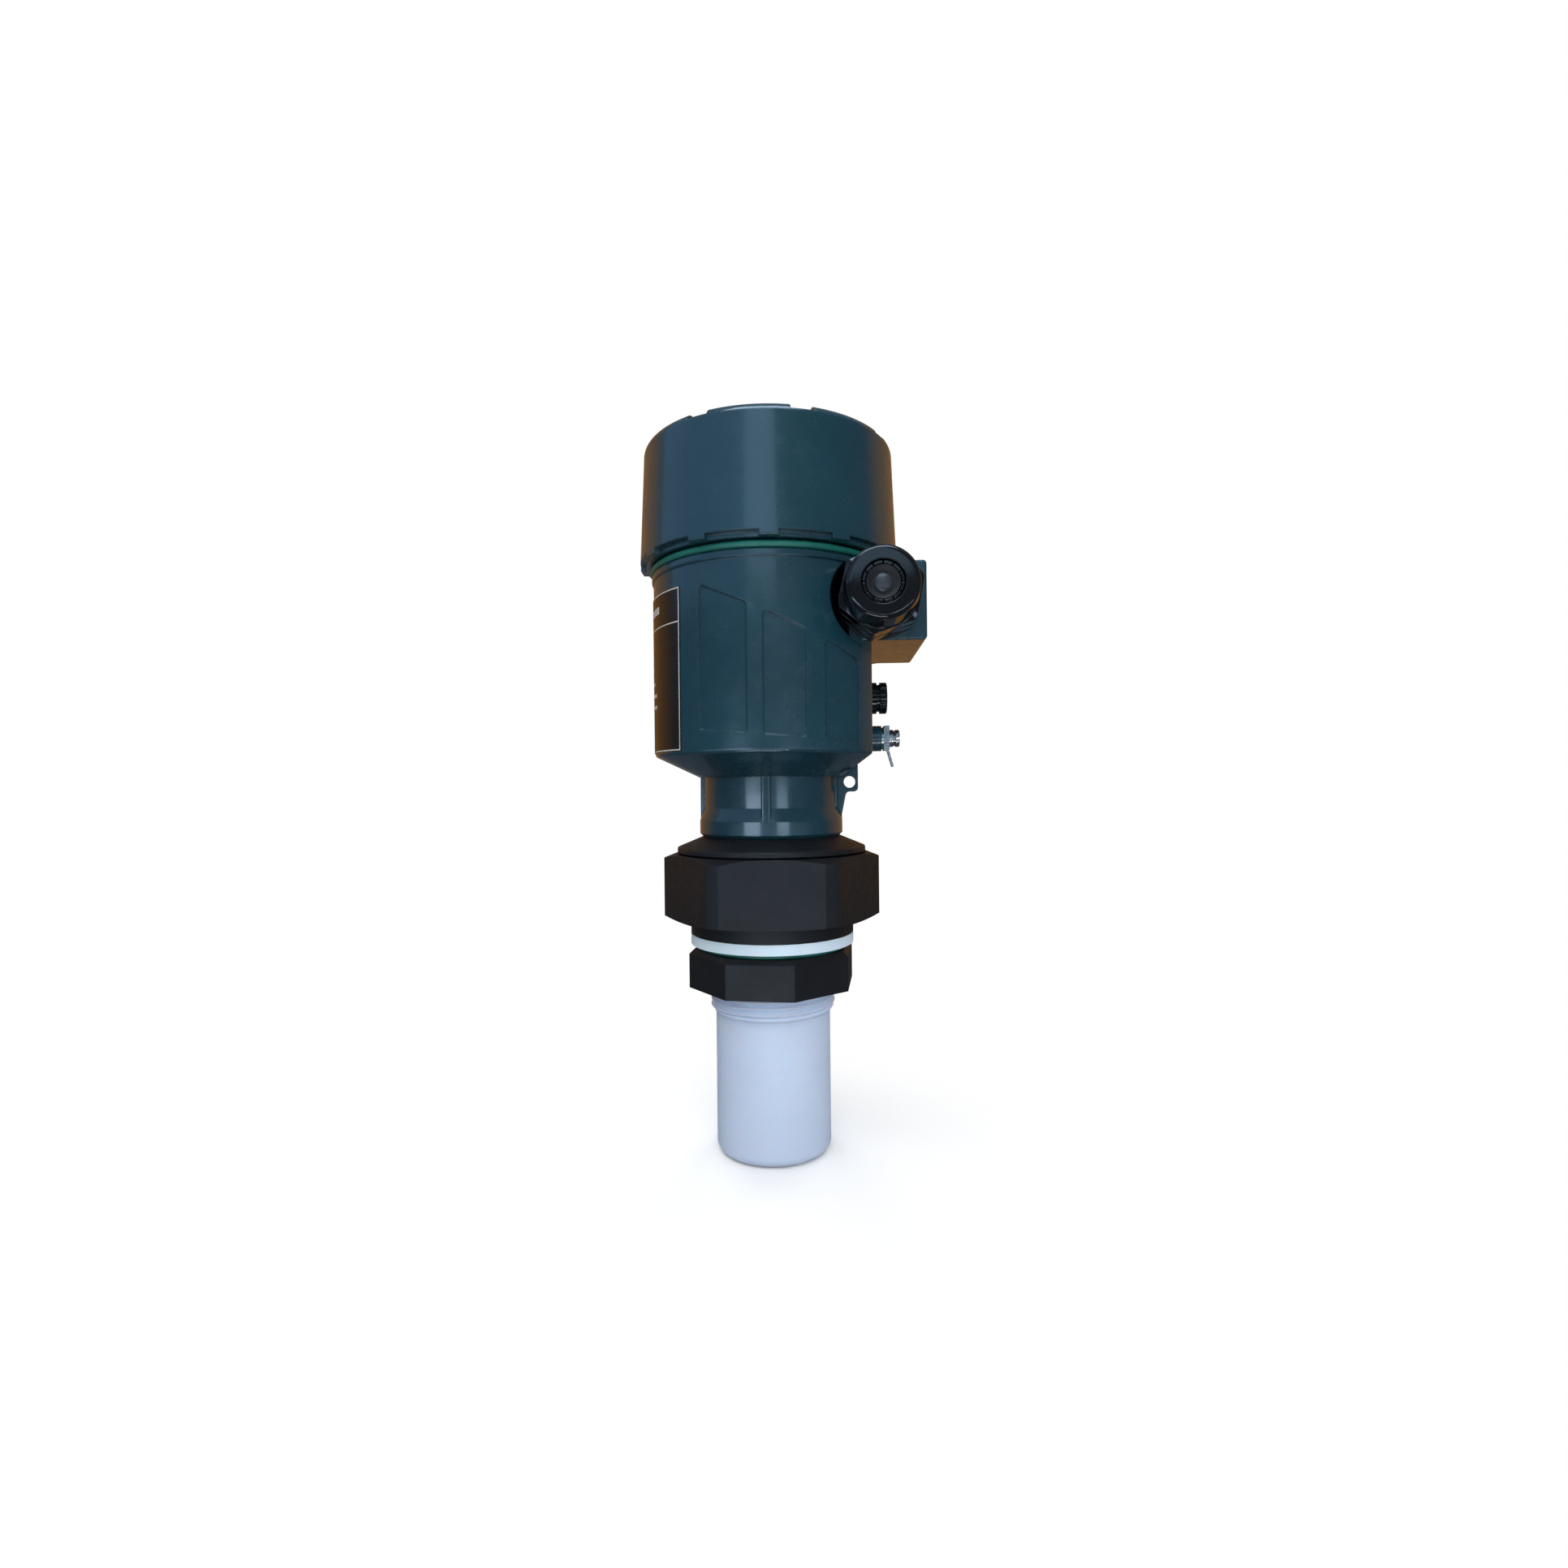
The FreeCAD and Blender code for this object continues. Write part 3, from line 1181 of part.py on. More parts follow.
def vent_o_ring():
    section = VENT_RING_RADIUS - VENT_SHANK_RADIUS - 2 * SEAT_GAP
    centre_radius = VENT_SHANK_RADIUS + SEAT_GAP + section / 2
    return o_ring(centre_radius, section, SEAT_GAP + section / 2)


def at_vent(shape):
    return aimed(shape, Vector(FLAT_X, 0, VENT_Z), X_AXIS)


def ground_spring_washer():
    return ring(SPRING_WASHER_RADIUS, GROUND_SCREW_RADIUS + SOFT_GAP, SEAT_GAP, SPRING_WASHER_THICKNESS)


def clamp_top():
    return SPRING_WASHER_THICKNESS + CLAMP_THICKNESS


def ground_clamp_plate():
    """Square wire clamp with a thin tab bent away from its lower edge."""
    half = CLAMP_SIDE / 2
    plate = box((-half, half), (-half, half), (SPRING_WASHER_THICKNESS, clamp_top()))
    half_tab = CLAMP_TAB_WIDTH / 2
    tab = box(
        (half - CLAMP_TAB_THICKNESS, half + CLAMP_TAB_LENGTH), (-half_tab, half_tab),
        (-CLAMP_TAB_THICKNESS, 0),
    )
    tab.rotate(Vector(half, 0, 0), Y_AXIS, -CLAMP_TAB_LEAN)
    tab.translate(Vector(0, 0, clamp_top()))
    hole = cylinder(GROUND_SCREW_RADIUS + SOFT_GAP, -OVERSHOOT, BEYOND)
    return plate.fuse(tab).cut(hole)


def ground_screw():
    head_low = clamp_top() + SEAT_GAP
    head_top = head_low + GROUND_HEAD_HEIGHT
    waist = head_low + GROUND_HEAD_HEIGHT / 2
    waist_radius = GROUND_HEAD_RADIUS - GROUND_HEAD_GROOVE
    tip = -(GROUND_HOLE_DEPTH - GROUND_HOLE_ROOM)
    screw = turned([
        (0, tip),
        (GROUND_SCREW_RADIUS, tip),
        (GROUND_SCREW_RADIUS, head_low),
        (GROUND_HEAD_RADIUS, head_low),
        (GROUND_HEAD_RADIUS, waist - GROUND_HEAD_GROOVE),
        (waist_radius, waist),
        (GROUND_HEAD_RADIUS, waist + GROUND_HEAD_GROOVE),
        (GROUND_HEAD_RADIUS, head_top, GROUND_HEAD_GROOVE),
        (0, head_top),
    ])
    half = GROUND_SLOT_WIDTH / 2
    slot = box((-half, half), (-BEYOND, BEYOND), (head_top - GROUND_SLOT_DEPTH, BEYOND))
    return screw.cut(slot)


def at_ground(shape):
    return aimed(shape, Vector(FLAT_X + GROUND_BOSS_HEIGHT, 0, GROUND_Z), X_AXIS)


def all_pieces():
    body = housing()
    pieces = {
        "housing": body,
        "seal_lug": seal_lug(body),
        "rating_label": rating_label(),
        "lid": lid(),
        "lid_o_ring": lid_o_ring(),
        "sight_glass": sight_glass(),
        "glass_gasket": glass_gasket(),
        "glass_retaining_ring": glass_retaining_ring(),
        "main_board": main_board(),
        "board_screws": board_screws(),
        "electronics_module": electronics_module(),
        "terminal_block": terminal_block(),
        "terminal_screws": terminal_screws(),
        "display_standoffs": display_standoffs(),
        "display_board": display_board(),
        "display_bezel": display_bezel(),
        "lcd_panel": lcd_panel(),
        "key_switches": key_switches(),
        "gland_washer": at_front_entry(gland_washer()),
        "gland_body": at_front_entry(gland_body()),
        "gland_seal": at_front_entry(gland_seal()),
        "gland_dust_plug": at_front_entry(gland_dust_plug()),
        "gland_dome_nut": at_front_entry(gland_dome_nut()),
        "blanking_washer": at_rear_entry(gland_washer()),
        "blanking_plug": at_rear_entry(blanking_plug()),
        "vent_plug": at_vent(vent_plug()),
        "vent_o_ring": at_vent(vent_o_ring()),
        "ground_spring_washer": at_ground(ground_spring_washer()),
        "ground_clamp_plate": at_ground(ground_clamp_plate()),
        "ground_screw": at_ground(ground_screw()),
        "neck_collar": neck_collar(),
        "neck_o_ring": neck_o_ring(),
        "hex_fitting": hex_fitting(),
        "flange_washer": flange_washer(),
        "flange_o_ring": flange_o_ring(),
        "lock_nut": lock_nut(),
        "probe_shell": probe_shell(),
        "probe_lead": probe_lead(),
    }
    pieces.update(transducer_stack())
    for index, x in enumerate(key_places()):
        pieces["display_key_%d" % (index + 1)] = display_key(x)
    return pieces


def export(pieces):
    os.makedirs("parts", exist_ok=True)
    for name, shape in pieces.items():
        if not shape.isValid():
            raise ValueError("invalid shape in " + name)
        solids = shape.Solids
        print(name, len(solids), "solids", round(shape.Volume, 1), "mm3")
        kept = solids[0] if len(solids) == 1 else group(solids)
        kept.exportStep(os.path.join("parts", name + ".step"))


export(all_pieces())
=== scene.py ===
"""Looks, light and camera for the ultrasonic level transmitter, in the part's own frame.

Added pieces are drawn in millimetres; the stage, the lamps and the camera in metres.
A bearing is an angle round the axis in degrees, 0 at -Y and 90 at +X.
"""

import json
import math

import bpy
from mathutils import Matrix, Vector


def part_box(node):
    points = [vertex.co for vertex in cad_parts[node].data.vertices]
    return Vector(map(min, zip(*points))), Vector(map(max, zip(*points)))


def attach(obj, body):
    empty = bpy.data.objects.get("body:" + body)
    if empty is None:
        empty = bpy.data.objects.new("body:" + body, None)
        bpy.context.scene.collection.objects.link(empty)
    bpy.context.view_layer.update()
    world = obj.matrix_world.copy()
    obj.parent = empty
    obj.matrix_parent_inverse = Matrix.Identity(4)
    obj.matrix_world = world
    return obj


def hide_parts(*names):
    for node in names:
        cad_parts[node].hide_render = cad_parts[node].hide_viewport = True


MM = 0.001
FULL_TURN = 2 * math.pi

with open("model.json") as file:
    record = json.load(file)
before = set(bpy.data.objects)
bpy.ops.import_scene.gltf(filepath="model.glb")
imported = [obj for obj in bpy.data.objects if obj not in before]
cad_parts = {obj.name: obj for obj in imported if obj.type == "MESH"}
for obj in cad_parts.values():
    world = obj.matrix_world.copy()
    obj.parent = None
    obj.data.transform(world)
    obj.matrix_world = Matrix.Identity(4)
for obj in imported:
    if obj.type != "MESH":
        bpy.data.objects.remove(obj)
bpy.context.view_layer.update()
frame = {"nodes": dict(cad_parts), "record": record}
nodes = frame["nodes"]


# Node helpers

RAMP_ENDS = (0.3, 0.7)
BEVEL_SAMPLES = 6


def shade(colour, factor):
    return tuple(channel * factor for channel in colour)


def colour_ramp(tree, factor, stops):
    """Colour ramp of (position, colour or grey level) stops, in rising order."""
    node = tree.nodes.new("ShaderNodeValToRGB")
    elements = node.color_ramp.elements
    while len(elements) < len(stops):
        elements.new(0.5)
    for element, (position, value) in zip(elements, stops):
        colour = value if isinstance(value, tuple) else (value, value, value)
        element.position = position
        element.color = (*colour, 1.0)
    tree.links.new(factor, node.inputs["Fac"])
    return node.outputs["Color"]


class Graph:
    """A node material with one Principled shader, and short ways to add nodes to it.

    Noise scales are in waves per metre, edge radii and bump depths in millimetres.
    """

    def __init__(self, name, roughness, metallic=0.0):
        self.material = bpy.data.materials.new(name)
        self.material.use_nodes = True
        self.tree = self.material.node_tree
        self.shader = self.tree.nodes["Principled BSDF"]
        self.set(Roughness=roughness, Metallic=metallic)
        self.coords = self.tree.nodes.new("ShaderNodeTexCoord").outputs["Object"]
        self.normal = None

    def set(self, **values):
        for name, value in values.items():
            self.shader.inputs[name.replace("_", " ")].default_value = value

    def link(self, output, socket):
        self.tree.links.new(output, socket)

    def stretched(self, scale):
        """Object coordinates scaled per axis, for marks that run one way."""
        node = self.tree.nodes.new("ShaderNodeMapping")
        node.inputs["Scale"].default_value = scale
        self.link(self.coords, node.inputs["Vector"])
        return node.outputs["Vector"]

    def noise(self, scale, detail=3.0, rough=0.5, coords=None):
        node = self.tree.nodes.new("ShaderNodeTexNoise")
        node.inputs["Scale"].default_value = scale
        node.inputs["Detail"].default_value = detail
        node.inputs["Roughness"].default_value = rough
        self.link(coords or self.coords, node.inputs["Vector"])
        return node.outputs["Fac"]

    def cells(self, scale):
        node = self.tree.nodes.new("ShaderNodeTexVoronoi")
        node.inputs["Scale"].default_value = scale
        self.link(self.coords, node.inputs["Vector"])
        return node.outputs["Distance"]

    def colour(self, factor, low, high, ends=RAMP_ENDS):
        """Base colour that runs from low to high with the factor."""
        output = colour_ramp(self.tree, factor, [(ends[0], low), (ends[1], high)])
        self.link(output, self.shader.inputs["Base Color"])

    def roughness(self, factor, low, high):
        output = colour_ramp(self.tree, factor, [(RAMP_ENDS[0], low), (RAMP_ENDS[1], high)])
        self.link(output, self.shader.inputs["Roughness"])

    def rounded(self, radius_mm):
        """Rounds the shading at sharp edges, as paint and moulding leave them."""
        node = self.tree.nodes.new("ShaderNodeBevel")
        node.samples = BEVEL_SAMPLES
        node.inputs["Radius"].default_value = radius_mm * MM
        self.normal = node.outputs["Normal"]
        self.link(self.normal, self.shader.inputs["Normal"])

    def bump(self, height, strength, depth_mm):
        """Adds relief on top of the rounding and relief that is already there."""
        node = self.tree.nodes.new("ShaderNodeBump")
        node.inputs["Strength"].default_value = strength
        node.inputs["Distance"].default_value = depth_mm * MM
        self.link(height, node.inputs["Height"])
        if self.normal:
            self.link(self.normal, node.inputs["Normal"])
        self.normal = node.outputs["Normal"]
        self.link(self.normal, self.shader.inputs["Normal"])


# Materials

TEAL = (0.0068, 0.036, 0.054)
BOARD_GREEN = (0.012, 0.1, 0.045)
SMEARED_GLASS = (0.9, 0.96, 0.95)
CLEAN_GLASS = (0.97, 1.0, 0.99)


def painted_casting():
    """Glossy teal paint over a casting that is slightly uneven."""
    graph = Graph("teal_paint", roughness=0.24)
    graph.set(Coat_Weight=0.6, Coat_Roughness=0.12)
    graph.rounded(radius_mm=1.0)
    cloud = graph.noise(28, detail=4, rough=0.6)
    graph.colour(cloud, shade(TEAL, 0.9), shade(TEAL, 1.1))
    graph.roughness(graph.noise(160, detail=4), 0.2, 0.3)
    graph.bump(graph.noise(120, detail=2), strength=0.16, depth_mm=0.12)
    graph.bump(graph.noise(900, detail=2), strength=0.1, depth_mm=0.03)
    return graph.material


def moulded(name, colour, roughness, grain=2400, depth_mm=0.05, edge_mm=0.0, specular=0.5):
    """Moulded plastic or rubber: slightly cloudy colour and a fine moulded grain."""
    low, high = roughness
    graph = Graph(name, low)
    graph.set(Specular_IOR_Level=specular)
    if edge_mm:
        graph.rounded(edge_mm)
    cloud = graph.noise(60, detail=4, rough=0.6)
    graph.colour(cloud, shade(colour, 0.8), shade(colour, 1.2))
    graph.roughness(graph.noise(350, detail=4), low, high)
    graph.bump(graph.noise(grain, detail=3), strength=0.3, depth_mm=depth_mm)
    return graph.material


def ptfe(name, white):
    """Waxy white plastic with faint turning marks."""
    graph = Graph(name, roughness=0.42)
    graph.set(Subsurface_Weight=0.4, Subsurface_Scale=0.006)
    cloud = graph.noise(40, detail=3)
    graph.colour(cloud, shade(white, 0.95), shade(white, 1.03))
    graph.roughness(graph.noise(300, detail=3), 0.36, 0.5)
    turned = graph.noise(60, detail=3, rough=0.6, coords=graph.stretched((1, 1, 40)))
    graph.bump(turned, strength=0.12, depth_mm=0.03)
    return graph.material


def metal(name, colour, roughness):
    """Bare metal with fine brush marks."""
    low, high = roughness
    graph = Graph(name, low, metallic=1.0)
    brushed = graph.noise(250, detail=4, rough=0.6, coords=graph.stretched((1, 8, 8)))
    graph.colour(brushed, shade(colour, 0.82), colour)
    graph.roughness(brushed, low, high)
    graph.bump(graph.noise(1500, detail=2), strength=0.15, depth_mm=0.01)
    return graph.material


def window_glass():
    """Clear glass with a few smears."""
    graph = Graph("window_glass", roughness=0.02)
    graph.set(Transmission_Weight=1.0, IOR=1.5)
    smear = graph.noise(90, detail=4)
    graph.colour(smear, SMEARED_GLASS, CLEAN_GLASS, ends=(0.2, 0.8))
    graph.roughness(smear, 0.0, 0.05)
    return graph.material


def circuit_board():
    """Green lacquer over a woven board."""
    graph = Graph("circuit_board", roughness=0.35)
    weave = graph.cells(900)
    graph.colour(weave, shade(BOARD_GREEN, 0.7), shade(BOARD_GREEN, 1.15), ends=(0.1, 0.6))
    graph.roughness(graph.noise(400, detail=3), 0.28, 0.45)
    graph.bump(weave, strength=0.15, depth_mm=0.03)
    return graph.material


# One material for each slot of the record, and the few nodes whose look differs from their slot
materials = {
    "painted_casting": painted_casting(),
    "label_film": moulded("label_film", (0.009, 0.0075, 0.007), (0.2, 0.28), grain=900, depth_mm=0.01),
    "green_rubber": moulded("green_rubber", (0.007, 0.13, 0.105), (0.34, 0.46), grain=1400, depth_mm=0.03),
    "black_rubber": moulded("black_rubber", (0.011, 0.011, 0.012), (0.55, 0.7), grain=1600, depth_mm=0.04),
    "black_nylon": moulded("black_nylon", (0.005, 0.0058, 0.0075), (0.05, 0.09), grain=1200,
                           depth_mm=0.003, edge_mm=0.5),
    "black_polyamide": moulded("black_polyamide", (0.0085, 0.0095, 0.012), (0.4, 0.52), edge_mm=0.6,
                               specular=0.28),
    "white_ptfe": ptfe("white_ptfe", (0.57, 0.68, 0.87)),
    "window_glass": window_glass(),
    "stainless": metal("stainless", (0.62, 0.61, 0.59), (0.2, 0.36)),
    "brass": metal("brass", (0.7, 0.5, 0.22), (0.25, 0.4)),
    "circuit_board": circuit_board(),
    "terminal_plastic": moulded("terminal_plastic", (0.02, 0.17, 0.08), (0.4, 0.5)),
    "display_plastic": moulded("display_plastic", (0.045, 0.05, 0.056), (0.42, 0.55)),
    "lcd_glass": moulded("lcd_glass", (0.3, 0.37, 0.27), (0.08, 0.14), grain=300, depth_mm=0.002),
    "key_plastic": moulded("key_plastic", (0.34, 0.35, 0.36), (0.45, 0.55)),
    "potting": moulded("potting", (0.018, 0.018, 0.02), (0.3, 0.5)),
    "piezo_ceramic": moulded("piezo_ceramic", (0.5, 0.46, 0.4), (0.6, 0.75)),
    "lead_sheath": moulded("lead_sheath", (0.07, 0.07, 0.075), (0.5, 0.6)),
}
node_materials = {
    # The flange washer gets a lighter copy of the probe's PTFE: painted light, standing in for the brighter
    # light that falls on the washer
    "flange_washer": ptfe("washer_ptfe_painted_lighter", (0.72, 0.84, 0.98)),
    "glass_retaining_ring": moulded("satin_ring", (0.09, 0.092, 0.096), (0.5, 0.56), grain=600,
                                    depth_mm=0.003),
    "glass_gasket": moulded("gasket_rubber", (0.011, 0.011, 0.012), (0.6, 0.66), grain=600, depth_mm=0.003),
    "gland_dust_plug": moulded("plug_nylon", (0.02, 0.024, 0.033), (0.34, 0.42), grain=1200, depth_mm=0.01),
}
for entry in frame["record"]["subparts"]:
    mesh = nodes[entry["node"]].data
    mesh.materials.clear()
    mesh.materials.append(node_materials.get(entry["node"], materials[entry["material_slot"]]))


# Added pieces

def new_piece(name, points, faces, body, material, smooth=True):
    mesh = bpy.data.meshes.new(name)
    mesh.from_pydata([Vector(point) * MM for point in points], [], faces)
    mesh.polygons.foreach_set("use_smooth", [smooth] * len(faces))
    mesh.materials.append(material)
    mesh.validate()
    piece = bpy.data.objects.new(name, mesh)
    bpy.context.scene.collection.objects.link(piece)
    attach(piece, body)
    return piece


def lathe(rows, count):
    """Points and faces of a closed lathe. A row is (radius or radius function, z)."""
    points, rings = [], []
    for radius, z in rows:
        if radius == 0:
            rings.append([len(points)])
            points.append((0, 0, z))
            continue
        ring = []
        for index in range(count):
            angle = index * FULL_TURN / count
            reach = radius(angle, z) if callable(radius) else radius
            ring.append(len(points))
            points.append((reach * math.cos(angle), reach * math.sin(angle), z))
        rings.append(ring)
    faces = []
    for low, high in zip(rings, rings[1:]):
        for index in range(count):
            after = (index + 1) % count
            if len(low) == 1:
                faces.append((low[0], high[after], high[index]))
            elif len(high) == 1:
                faces.append((low[index], low[after], high[0]))
            else:
                faces.append((low[index], low[after], high[after], high[index]))
    return points, faces


# Probe with its pipe thread, 11 threads to the inch

probe_low, probe_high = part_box("probe_shell")
PROBE_TIP = probe_low.z / MM
PROBE_TOP = probe_high.z / MM
CREST_INSET = 0.02
THREAD_PITCH = 25.4 / 11
THREAD_CREST = probe_high.x / MM - CREST_INSET
THREAD_ROOT = 22.6
THREAD_END = -30.2
THREAD_TOP = 2.0
RIDGE_POWER = 0.8
SHANK_LOW = 2.6
BARREL_RADIUS = 22.0
TIP_ROUND = 3.5
PROBE_WALL = 4.0
PROBE_FLOOR = 5.0
CAVITY_RADIUS = BARREL_RADIUS - PROBE_WALL
CAVITY_FLOOR = PROBE_TIP + PROBE_FLOOR
PROBE_SIDES = 160
TIP_STEPS = 8
THREAD_STEPS = 150


def thread_radius(angle, z):
    """Radius of the helical thread, which runs out into the barrel at its lower end."""
    phase = (z / THREAD_PITCH - angle / FULL_TURN) % 1.0
    ridge = 0.5 - 0.5 * math.cos(FULL_TURN * phase)
    fade = min(1.0, max(0.0, (z - THREAD_END) / THREAD_PITCH))
    root = BARREL_RADIUS + (THREAD_ROOT - BARREL_RADIUS) * fade
    return root + (THREAD_CREST - root) * ridge ** RIDGE_POWER * fade


def probe():
    rows = [(0, PROBE_TIP)]
    for step in range(TIP_STEPS + 1):
        angle = step * math.pi / (2 * TIP_STEPS)
        rows.append((BARREL_RADIUS - TIP_ROUND * (1 - math.sin(angle)),
                     PROBE_TIP + TIP_ROUND * (1 - math.cos(angle))))
    rows.append((BARREL_RADIUS, THREAD_END - THREAD_PITCH))
    for step in range(THREAD_STEPS + 1):
        rows.append((thread_radius, THREAD_END + step * (THREAD_TOP - THREAD_END) / THREAD_STEPS))
    rows += [(THREAD_ROOT, SHANK_LOW), (THREAD_ROOT, PROBE_TOP), (CAVITY_RADIUS, PROBE_TOP),
             (CAVITY_RADIUS, CAVITY_FLOOR), (0, CAVITY_FLOOR)]
    points, faces = lathe(rows, PROBE_SIDES)
    piece = new_piece("probe_threaded", points, faces, "head", materials["white_ptfe"])
    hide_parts("probe_shell")


probe()


# Print on the rating label: a border, a divider and plain bars

label_low, label_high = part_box("rating_label")
PRINT_INSET = 0.1
BODY_RADIUS = 44.2
BODY_DRAFT = 0.1
BODY_LOW = 67.2
BODY_HEIGHT = 65.3
LABEL_LIFT = 0.28
LABEL_BEARINGS = (-138.8, -41.2)
LABEL_HEIGHTS = (label_low.z / MM + PRINT_INSET, label_high.z / MM - PRINT_INSET)
LINE_WIDTH = 0.45
DIVIDER_Z = 113.6
INK_DEPTH = 0.03
SLAB_STEP_DEG = 2
HEADER_BAR = ((-118, -60), (118.6, 121.2))
ROW_TOP = 106.0
ROW_STEP = 4.3
ROW_HEIGHT = 1.3
ROW_NAME = (-128, -112)
ROW_VALUE_START = -104
ROW_VALUE_WIDTHS = (22, 30, 26, 34, 38, 38, 18)


def label_slab(points, faces, bearings, heights):
    """Adds a thin closed slab that follows the label's face."""
    steps = max(1, round(abs(bearings[1] - bearings[0]) / SLAB_STEP_DEG))
    first = len(points)
    for step in range(steps + 1):
        angle = math.radians(bearings[0] + (bearings[1] - bearings[0]) * step / steps)
        for z, lift in ((heights[0], -INK_DEPTH), (heights[0], INK_DEPTH),
                        (heights[1], INK_DEPTH), (heights[1], -INK_DEPTH)):
            reach = BODY_RADIUS + BODY_DRAFT * (z - BODY_LOW) / BODY_HEIGHT + LABEL_LIFT + lift
            points.append((reach * math.sin(angle), -reach * math.cos(angle), z))
    for step in range(steps):
        here = first + 4 * step
        for side in range(4):
            after = (side + 1) % 4
            faces.append((here + side, here + after, here + 4 + after, here + 4 + side))
    last = first + 4 * steps
    faces.append((first + 3, first + 2, first + 1, first))
    faces.append((last, last + 1, last + 2, last + 3))


def label_print():
    left, right = LABEL_BEARINGS
    low, high = LABEL_HEIGHTS
    line_deg = math.degrees(LINE_WIDTH / BODY_RADIUS)
    slabs = [
        ((left, right), (low, low + LINE_WIDTH)),
        ((left, right), (high - LINE_WIDTH, high)),
        ((left, right), (DIVIDER_Z - LINE_WIDTH / 2, DIVIDER_Z + LINE_WIDTH / 2)),
        ((left, left + line_deg), (low + LINE_WIDTH, high - LINE_WIDTH)),
        ((right - line_deg, right), (low + LINE_WIDTH, high - LINE_WIDTH)),
        HEADER_BAR,
    ]
    for row, width in enumerate(ROW_VALUE_WIDTHS):
        heights = (ROW_TOP - row * ROW_STEP, ROW_TOP - row * ROW_STEP + ROW_HEIGHT)
        slabs.append((ROW_NAME, heights))
        slabs.append(((ROW_VALUE_START, ROW_VALUE_START + width), heights))
    points, faces = [], []
    for bearings, heights in slabs:
        label_slab(points, faces, bearings, heights)
    ink = moulded("label_ink", (0.5, 0.48, 0.46), (0.3, 0.4), grain=900, depth_mm=0.005)
    new_piece("label_print", points, faces, "head", ink, smooth=False)


label_print()


# Bar graph on the display

LCD_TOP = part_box("lcd_panel")[1].z / MM
GRAPH_BARS = 12
GRAPH_LEFT = -13.0
GRAPH_STEP = 2.2
GRAPH_BAR_WIDTH = 1.5
GRAPH_LOW = -1.5
GRAPH_FIRST_BAR = 2.0
GRAPH_RISE = 0.8
GRAPH_RULE = (11.2, 12.0)
BOX_FACES = ((3, 2, 1, 0), (4, 5, 6, 7), (0, 1, 5, 4), (1, 2, 6, 5), (2, 3, 7, 6), (3, 0, 4, 7))


def display_marks():
    """Bars that rise to the right under one rule, each a thin box on the display."""
    bars = []
    for index in range(GRAPH_BARS):
        x = GRAPH_LEFT + index * GRAPH_STEP
        top = GRAPH_LOW + GRAPH_FIRST_BAR + index * GRAPH_RISE
        bars.append((x, x + GRAPH_BAR_WIDTH, GRAPH_LOW, top))
    right = GRAPH_LEFT + (GRAPH_BARS - 1) * GRAPH_STEP + GRAPH_BAR_WIDTH
    bars.append((GRAPH_LEFT, right, *GRAPH_RULE))
    points, faces = [], []
    for x0, x1, y0, y1 in bars:
        first = len(points)
        for z in (LCD_TOP - INK_DEPTH, LCD_TOP + INK_DEPTH):
            points += [(x0, y0, z), (x1, y0, z), (x1, y1, z), (x0, y1, z)]
        for corners in BOX_FACES:
            faces.append(tuple(first + corner for corner in corners))
    ink = moulded("lcd_ink", (0.02, 0.026, 0.022), (0.2, 0.3), grain=900, depth_mm=0.002)
    new_piece("lcd_marks", points, faces, "head", ink, smooth=False)


display_marks()


# Lid thread on the spigot, inside the lid's running gap

SPIGOT_INSET = 1.2
SPIGOT_RADIUS = BODY_RADIUS - SPIGOT_INSET
SPIGOT_PITCH = 2.0
SPIGOT_TURNS = 7
SPIGOT_THREAD_LOW = 138.4
SPIGOT_RIDGE = 0.22
SPIGOT_RIDGE_WIDTH = 1.5
SPIGOT_ROOT = 0.05
SPIGOT_STEPS = 96
SPIGOT_FADE_TURNS = 0.25


def spigot_thread():
    """One helical ridge of triangular section that fades out at both ends."""
    total = SPIGOT_TURNS * SPIGOT_STEPS
    fade_steps = SPIGOT_FADE_TURNS * SPIGOT_STEPS
    points, faces = [], []
    for step in range(total + 1):
        angle = step * FULL_TURN / SPIGOT_STEPS
        z = SPIGOT_THREAD_LOW + SPIGOT_PITCH * step / SPIGOT_STEPS
        fade = min(1.0, step / fade_steps, (total - step) / fade_steps)
        for reach, rise in ((-SPIGOT_ROOT, -SPIGOT_RIDGE_WIDTH / 2), (SPIGOT_RIDGE * fade, 0),
                            (-SPIGOT_ROOT, SPIGOT_RIDGE_WIDTH / 2)):
            radius = SPIGOT_RADIUS + reach
            points.append((radius * math.cos(angle), radius * math.sin(angle), z + rise))
    for step in range(total):
        here = 3 * step
        for side in range(3):
            after = (side + 1) % 3
            faces.append((here + side, here + 3 + side, here + 3 + after, here + after))
    faces.append((0, 1, 2))
    faces.append((3 * total + 2, 3 * total + 1, 3 * total))
    new_piece("spigot_thread", points, faces, "head", materials["painted_casting"])


spigot_thread()


# Floor and world

FLOOR_Z = PROBE_TIP * MM
FLOOR_RADIUS = 3.0
FLOOR_SIDES = 96
FLOOR_SEEN = (0.95, 0.95, 0.95, 1)
FLOOR_BOUNCE = (0.4, 0.4, 0.4, 1)
SHADOW_REACH = (0.02, 0.12)
WORLD_SEEN = (1, 1, 1, 1)
WORLD_LIGHT = (0.93, 0.96, 1.0, 1)
WORLD_LEVEL = 0.4


def seen_rays(tree):
    """1 for rays from the camera, from gloss and through glass, 0 for rays that light things."""
    path = tree.nodes.new("ShaderNodeLightPath")
    total = path.outputs["Is Camera Ray"]
    for name in ("Is Glossy Ray", "Is Transmission Ray"):
        add = tree.nodes.new("ShaderNodeMath")
        add.operation = "ADD"
        add.use_clamp = True
        tree.links.new(total, add.inputs[0])
        tree.links.new(path.outputs[name], add.inputs[1])
        total = add.outputs[0]
    return total


